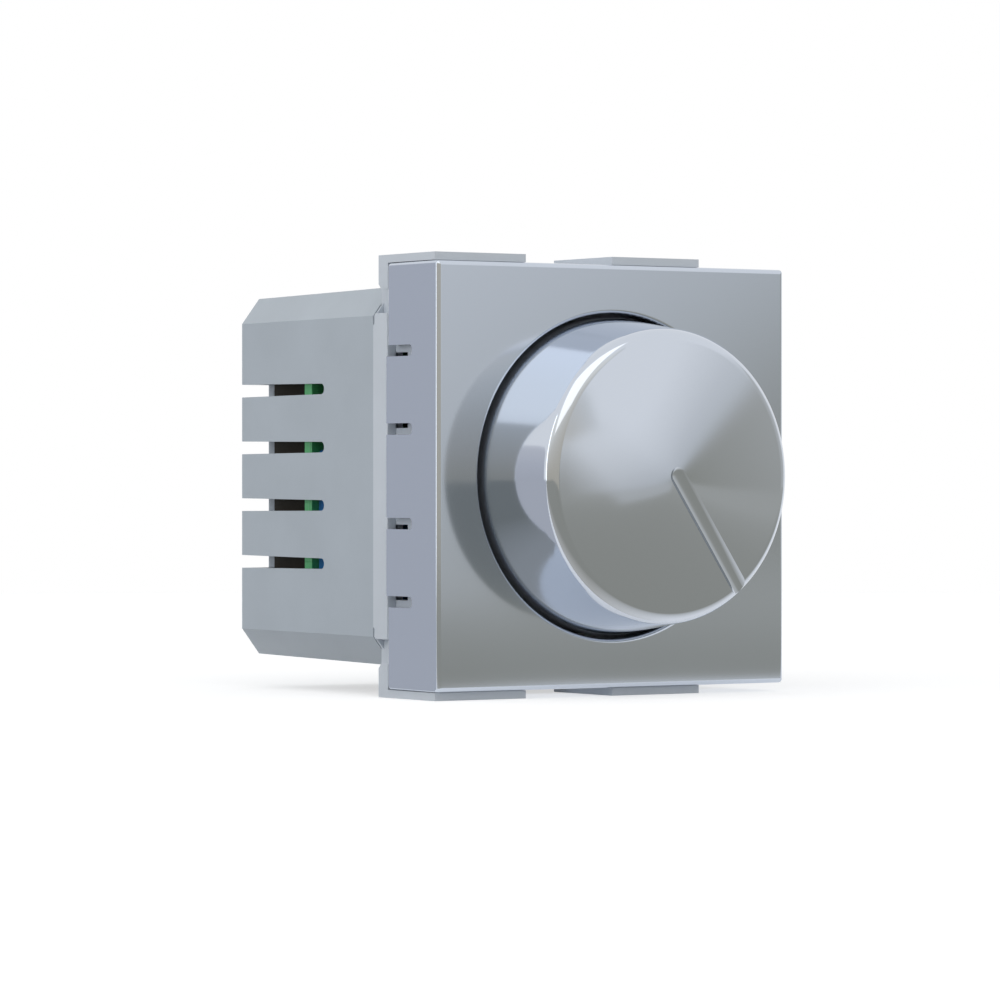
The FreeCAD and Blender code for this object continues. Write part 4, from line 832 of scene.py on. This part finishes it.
def makeLamp(name, lamp):
    data = bpy.data.lights.new(name, "AREA")
    data.shape = "RECTANGLE"
    data.size, data.size_y = lamp["size"]
    data.energy = lamp["power"]
    data.color = lamp["colour"]
    box = bpy.data.objects.new(name, data)
    box.location = lamp["place"]
    box.rotation_euler = (Vector(lamp["aim"]) - Vector(lamp["place"])).to_track_quat("-Z", "Y").to_euler()
    box.visible_glossy = lamp["mirrored"]
    bpy.context.scene.collection.objects.link(box)


makeWorld(studio)
makeFloor(studio)
tables = {  # grey areas just over the floor, seen in reflections only
    "frontTable": {
        "outline": [(-0.5, -0.008), (-0.5, -0.6), (0.7, -0.6), (0.7, -0.008)], "lift": 0.0003,
        "soft": (-0.030, -0.012),
        "stops": [(-0.1, (0.38, 0.375, 0.33)), (0.0, (0.365, 0.36, 0.315)), (0.1, (0.405, 0.40, 0.355)),
                  (0.25, (0.50, 0.495, 0.45))],
        "near": [(-0.1, (0.53, 0.515, 0.48)), (-0.012, (0.60, 0.58, 0.53)), (0.006, (1, 1, 1)),
                 (0.3, (1, 1, 1))],
    },
    "farTable": {
        "outline": [(0.128, -0.29), (0.255, -0.6), (0.38, -0.6), (0.183, -0.29)], "lift": 0.0005,
        "stops": [(-0.1, (0.60, 0.60, 0.575)), (0.3, (0.60, 0.60, 0.575))],
    },
    "rearTable": {
        "outline": [(-0.6, 0.6), (-0.6, 0.0015), (-0.0226, 0.0015), (-0.0226, 0.6)], "lift": 0.0003,
        "stops": [(-0.1, (0.56, 0.57, 0.61)), (0.3, (0.56, 0.57, 0.61))],
    },
}
for name, table in tables.items():
    makeTable(name, table)
frontCard = {  # seen in the plate and the knob's face
    "toward": (0.5745, -0.8186, 0), "distance": 2.0, "tilt": 33.0, "half": (-30, 50), "reach": (-35, 11),
    "stops": [(-35, (0.365, 0.36, 0.31)), (-2.2, (0.365, 0.36, 0.31)), (-1.0, (0.395, 0.39, 0.345)),
              (-0.3, (0.45, 0.445, 0.41)), (0.5, (0.55, 0.56, 0.54)), (1.3, (0.65, 0.66, 0.65)),
              (2.4, (0.70, 0.71, 0.71)), (4.1, (0.76, 0.765, 0.765)), (5.5, (0.83, 0.835, 0.835)),
              (7.5, (0.92, 0.92, 0.92)), (9.5, (1, 1, 1)), (11, (1, 1, 1))],
    "fade": [(3, 0.0), (12, 0.15), (20, 0.33), (35, 0.40), (50, 0.5)], "beyond": (1, 1, 1),
    "left": [(-20, 1.0), (-13.5, 1.0), (-11.5, 0.6), (-9.5, 0.15), (-3, 0.0)],
    "leftTone": (0.42, 0.415, 0.37),
}
leftFrontCard = {  # behind the camera, seen in the knob's edge and, through the plate, in its side
    "toward": (-0.5, -0.866, 0), "distance": 1.9, "tilt": 0.0, "half": (-54, 54), "reach": (-25, 52),
    "stops": [(-25, (0.54, 0.50, 0.42)), (1, (0.59, 0.55, 0.46)), (8, (0.66, 0.62, 0.54)),
              (18, (0.75, 0.72, 0.65)), (27, (0.87, 0.85, 0.79)), (32, (0.97, 0.945, 0.88)),
              (42, (0.97, 0.955, 0.90)), (52, (1, 1, 1))],
    "fade": [(50, 0.0), (54, 1.0)], "beyond": (0.78, 0.79, 0.785),
}
sideCard = {  # seen in the plate's and the knob's left side
    "toward": (-0.60, 0.80, 0), "distance": 1.6, "tilt": 0.0, "half": (-32, 30), "reach": (-20, 16),
    "stops": [(-20, (0.40, 0.40, 0.43)), (-4, (0.54, 0.55, 0.59)), (6, (0.60, 0.61, 0.655)),
              (14, (0.68, 0.685, 0.72)), (16, (0.8, 0.8, 0.83))],
    "fade": [(28, 0.0), (30, 0.2)], "beyond": (1, 1, 1),
}
makeCard("frontCard", frontCard)
makeCard("leftFrontCard", leftFrontCard)
makeCard("sideCard", sideCard)
lamps = {
    "keyBox": {"place": (-0.40, -0.62, 0.92), "aim": (0, 0, 0), "size": (1.2, 1.1), "power": 2.9,
               "colour": (1.0, 0.97, 0.93), "mirrored": True},
    "leftBox": {"place": (-1.2, 0.02, 0.35), "aim": (0, 0, 0), "size": (0.14, 1.0), "power": 0.6,
                "colour": (1, 1, 1), "mirrored": True},
    "sideFill": {"place": (-1.2, -0.1, 0.35), "aim": (0, 0.01, 0), "size": (0.6, 0.6), "power": 2.0,
                 "colour": (1, 1, 1), "mirrored": False},
}
for name, lamp in lamps.items():
    makeLamp(name, lamp)
print("studio lit")

cameraFit = {
    "place": (-0.2929, -0.4175, 0.0), "turn": (90.0, 0.0, -33.68), "lens": 172.45, "sensor": 36.0,
    "rise": -0.02375, "near": 0.01, "far": 20.0,
}
lensData = bpy.data.cameras.new("photoCamera")
lensData.sensor_width = cameraFit["sensor"]
lensData.lens = cameraFit["lens"]
lensData.shift_y = cameraFit["rise"]
lensData.clip_start = cameraFit["near"]
lensData.clip_end = cameraFit["far"]
camera = bpy.data.objects.new("photoCamera", lensData)
camera.location = cameraFit["place"]
camera.rotation_euler = tuple(math.radians(angle) for angle in cameraFit["turn"])
bpy.context.scene.collection.objects.link(camera)
bpy.context.scene.camera = camera
bpy.context.scene.view_settings.view_transform = "Standard"

print("cad bounds", cadBounds)
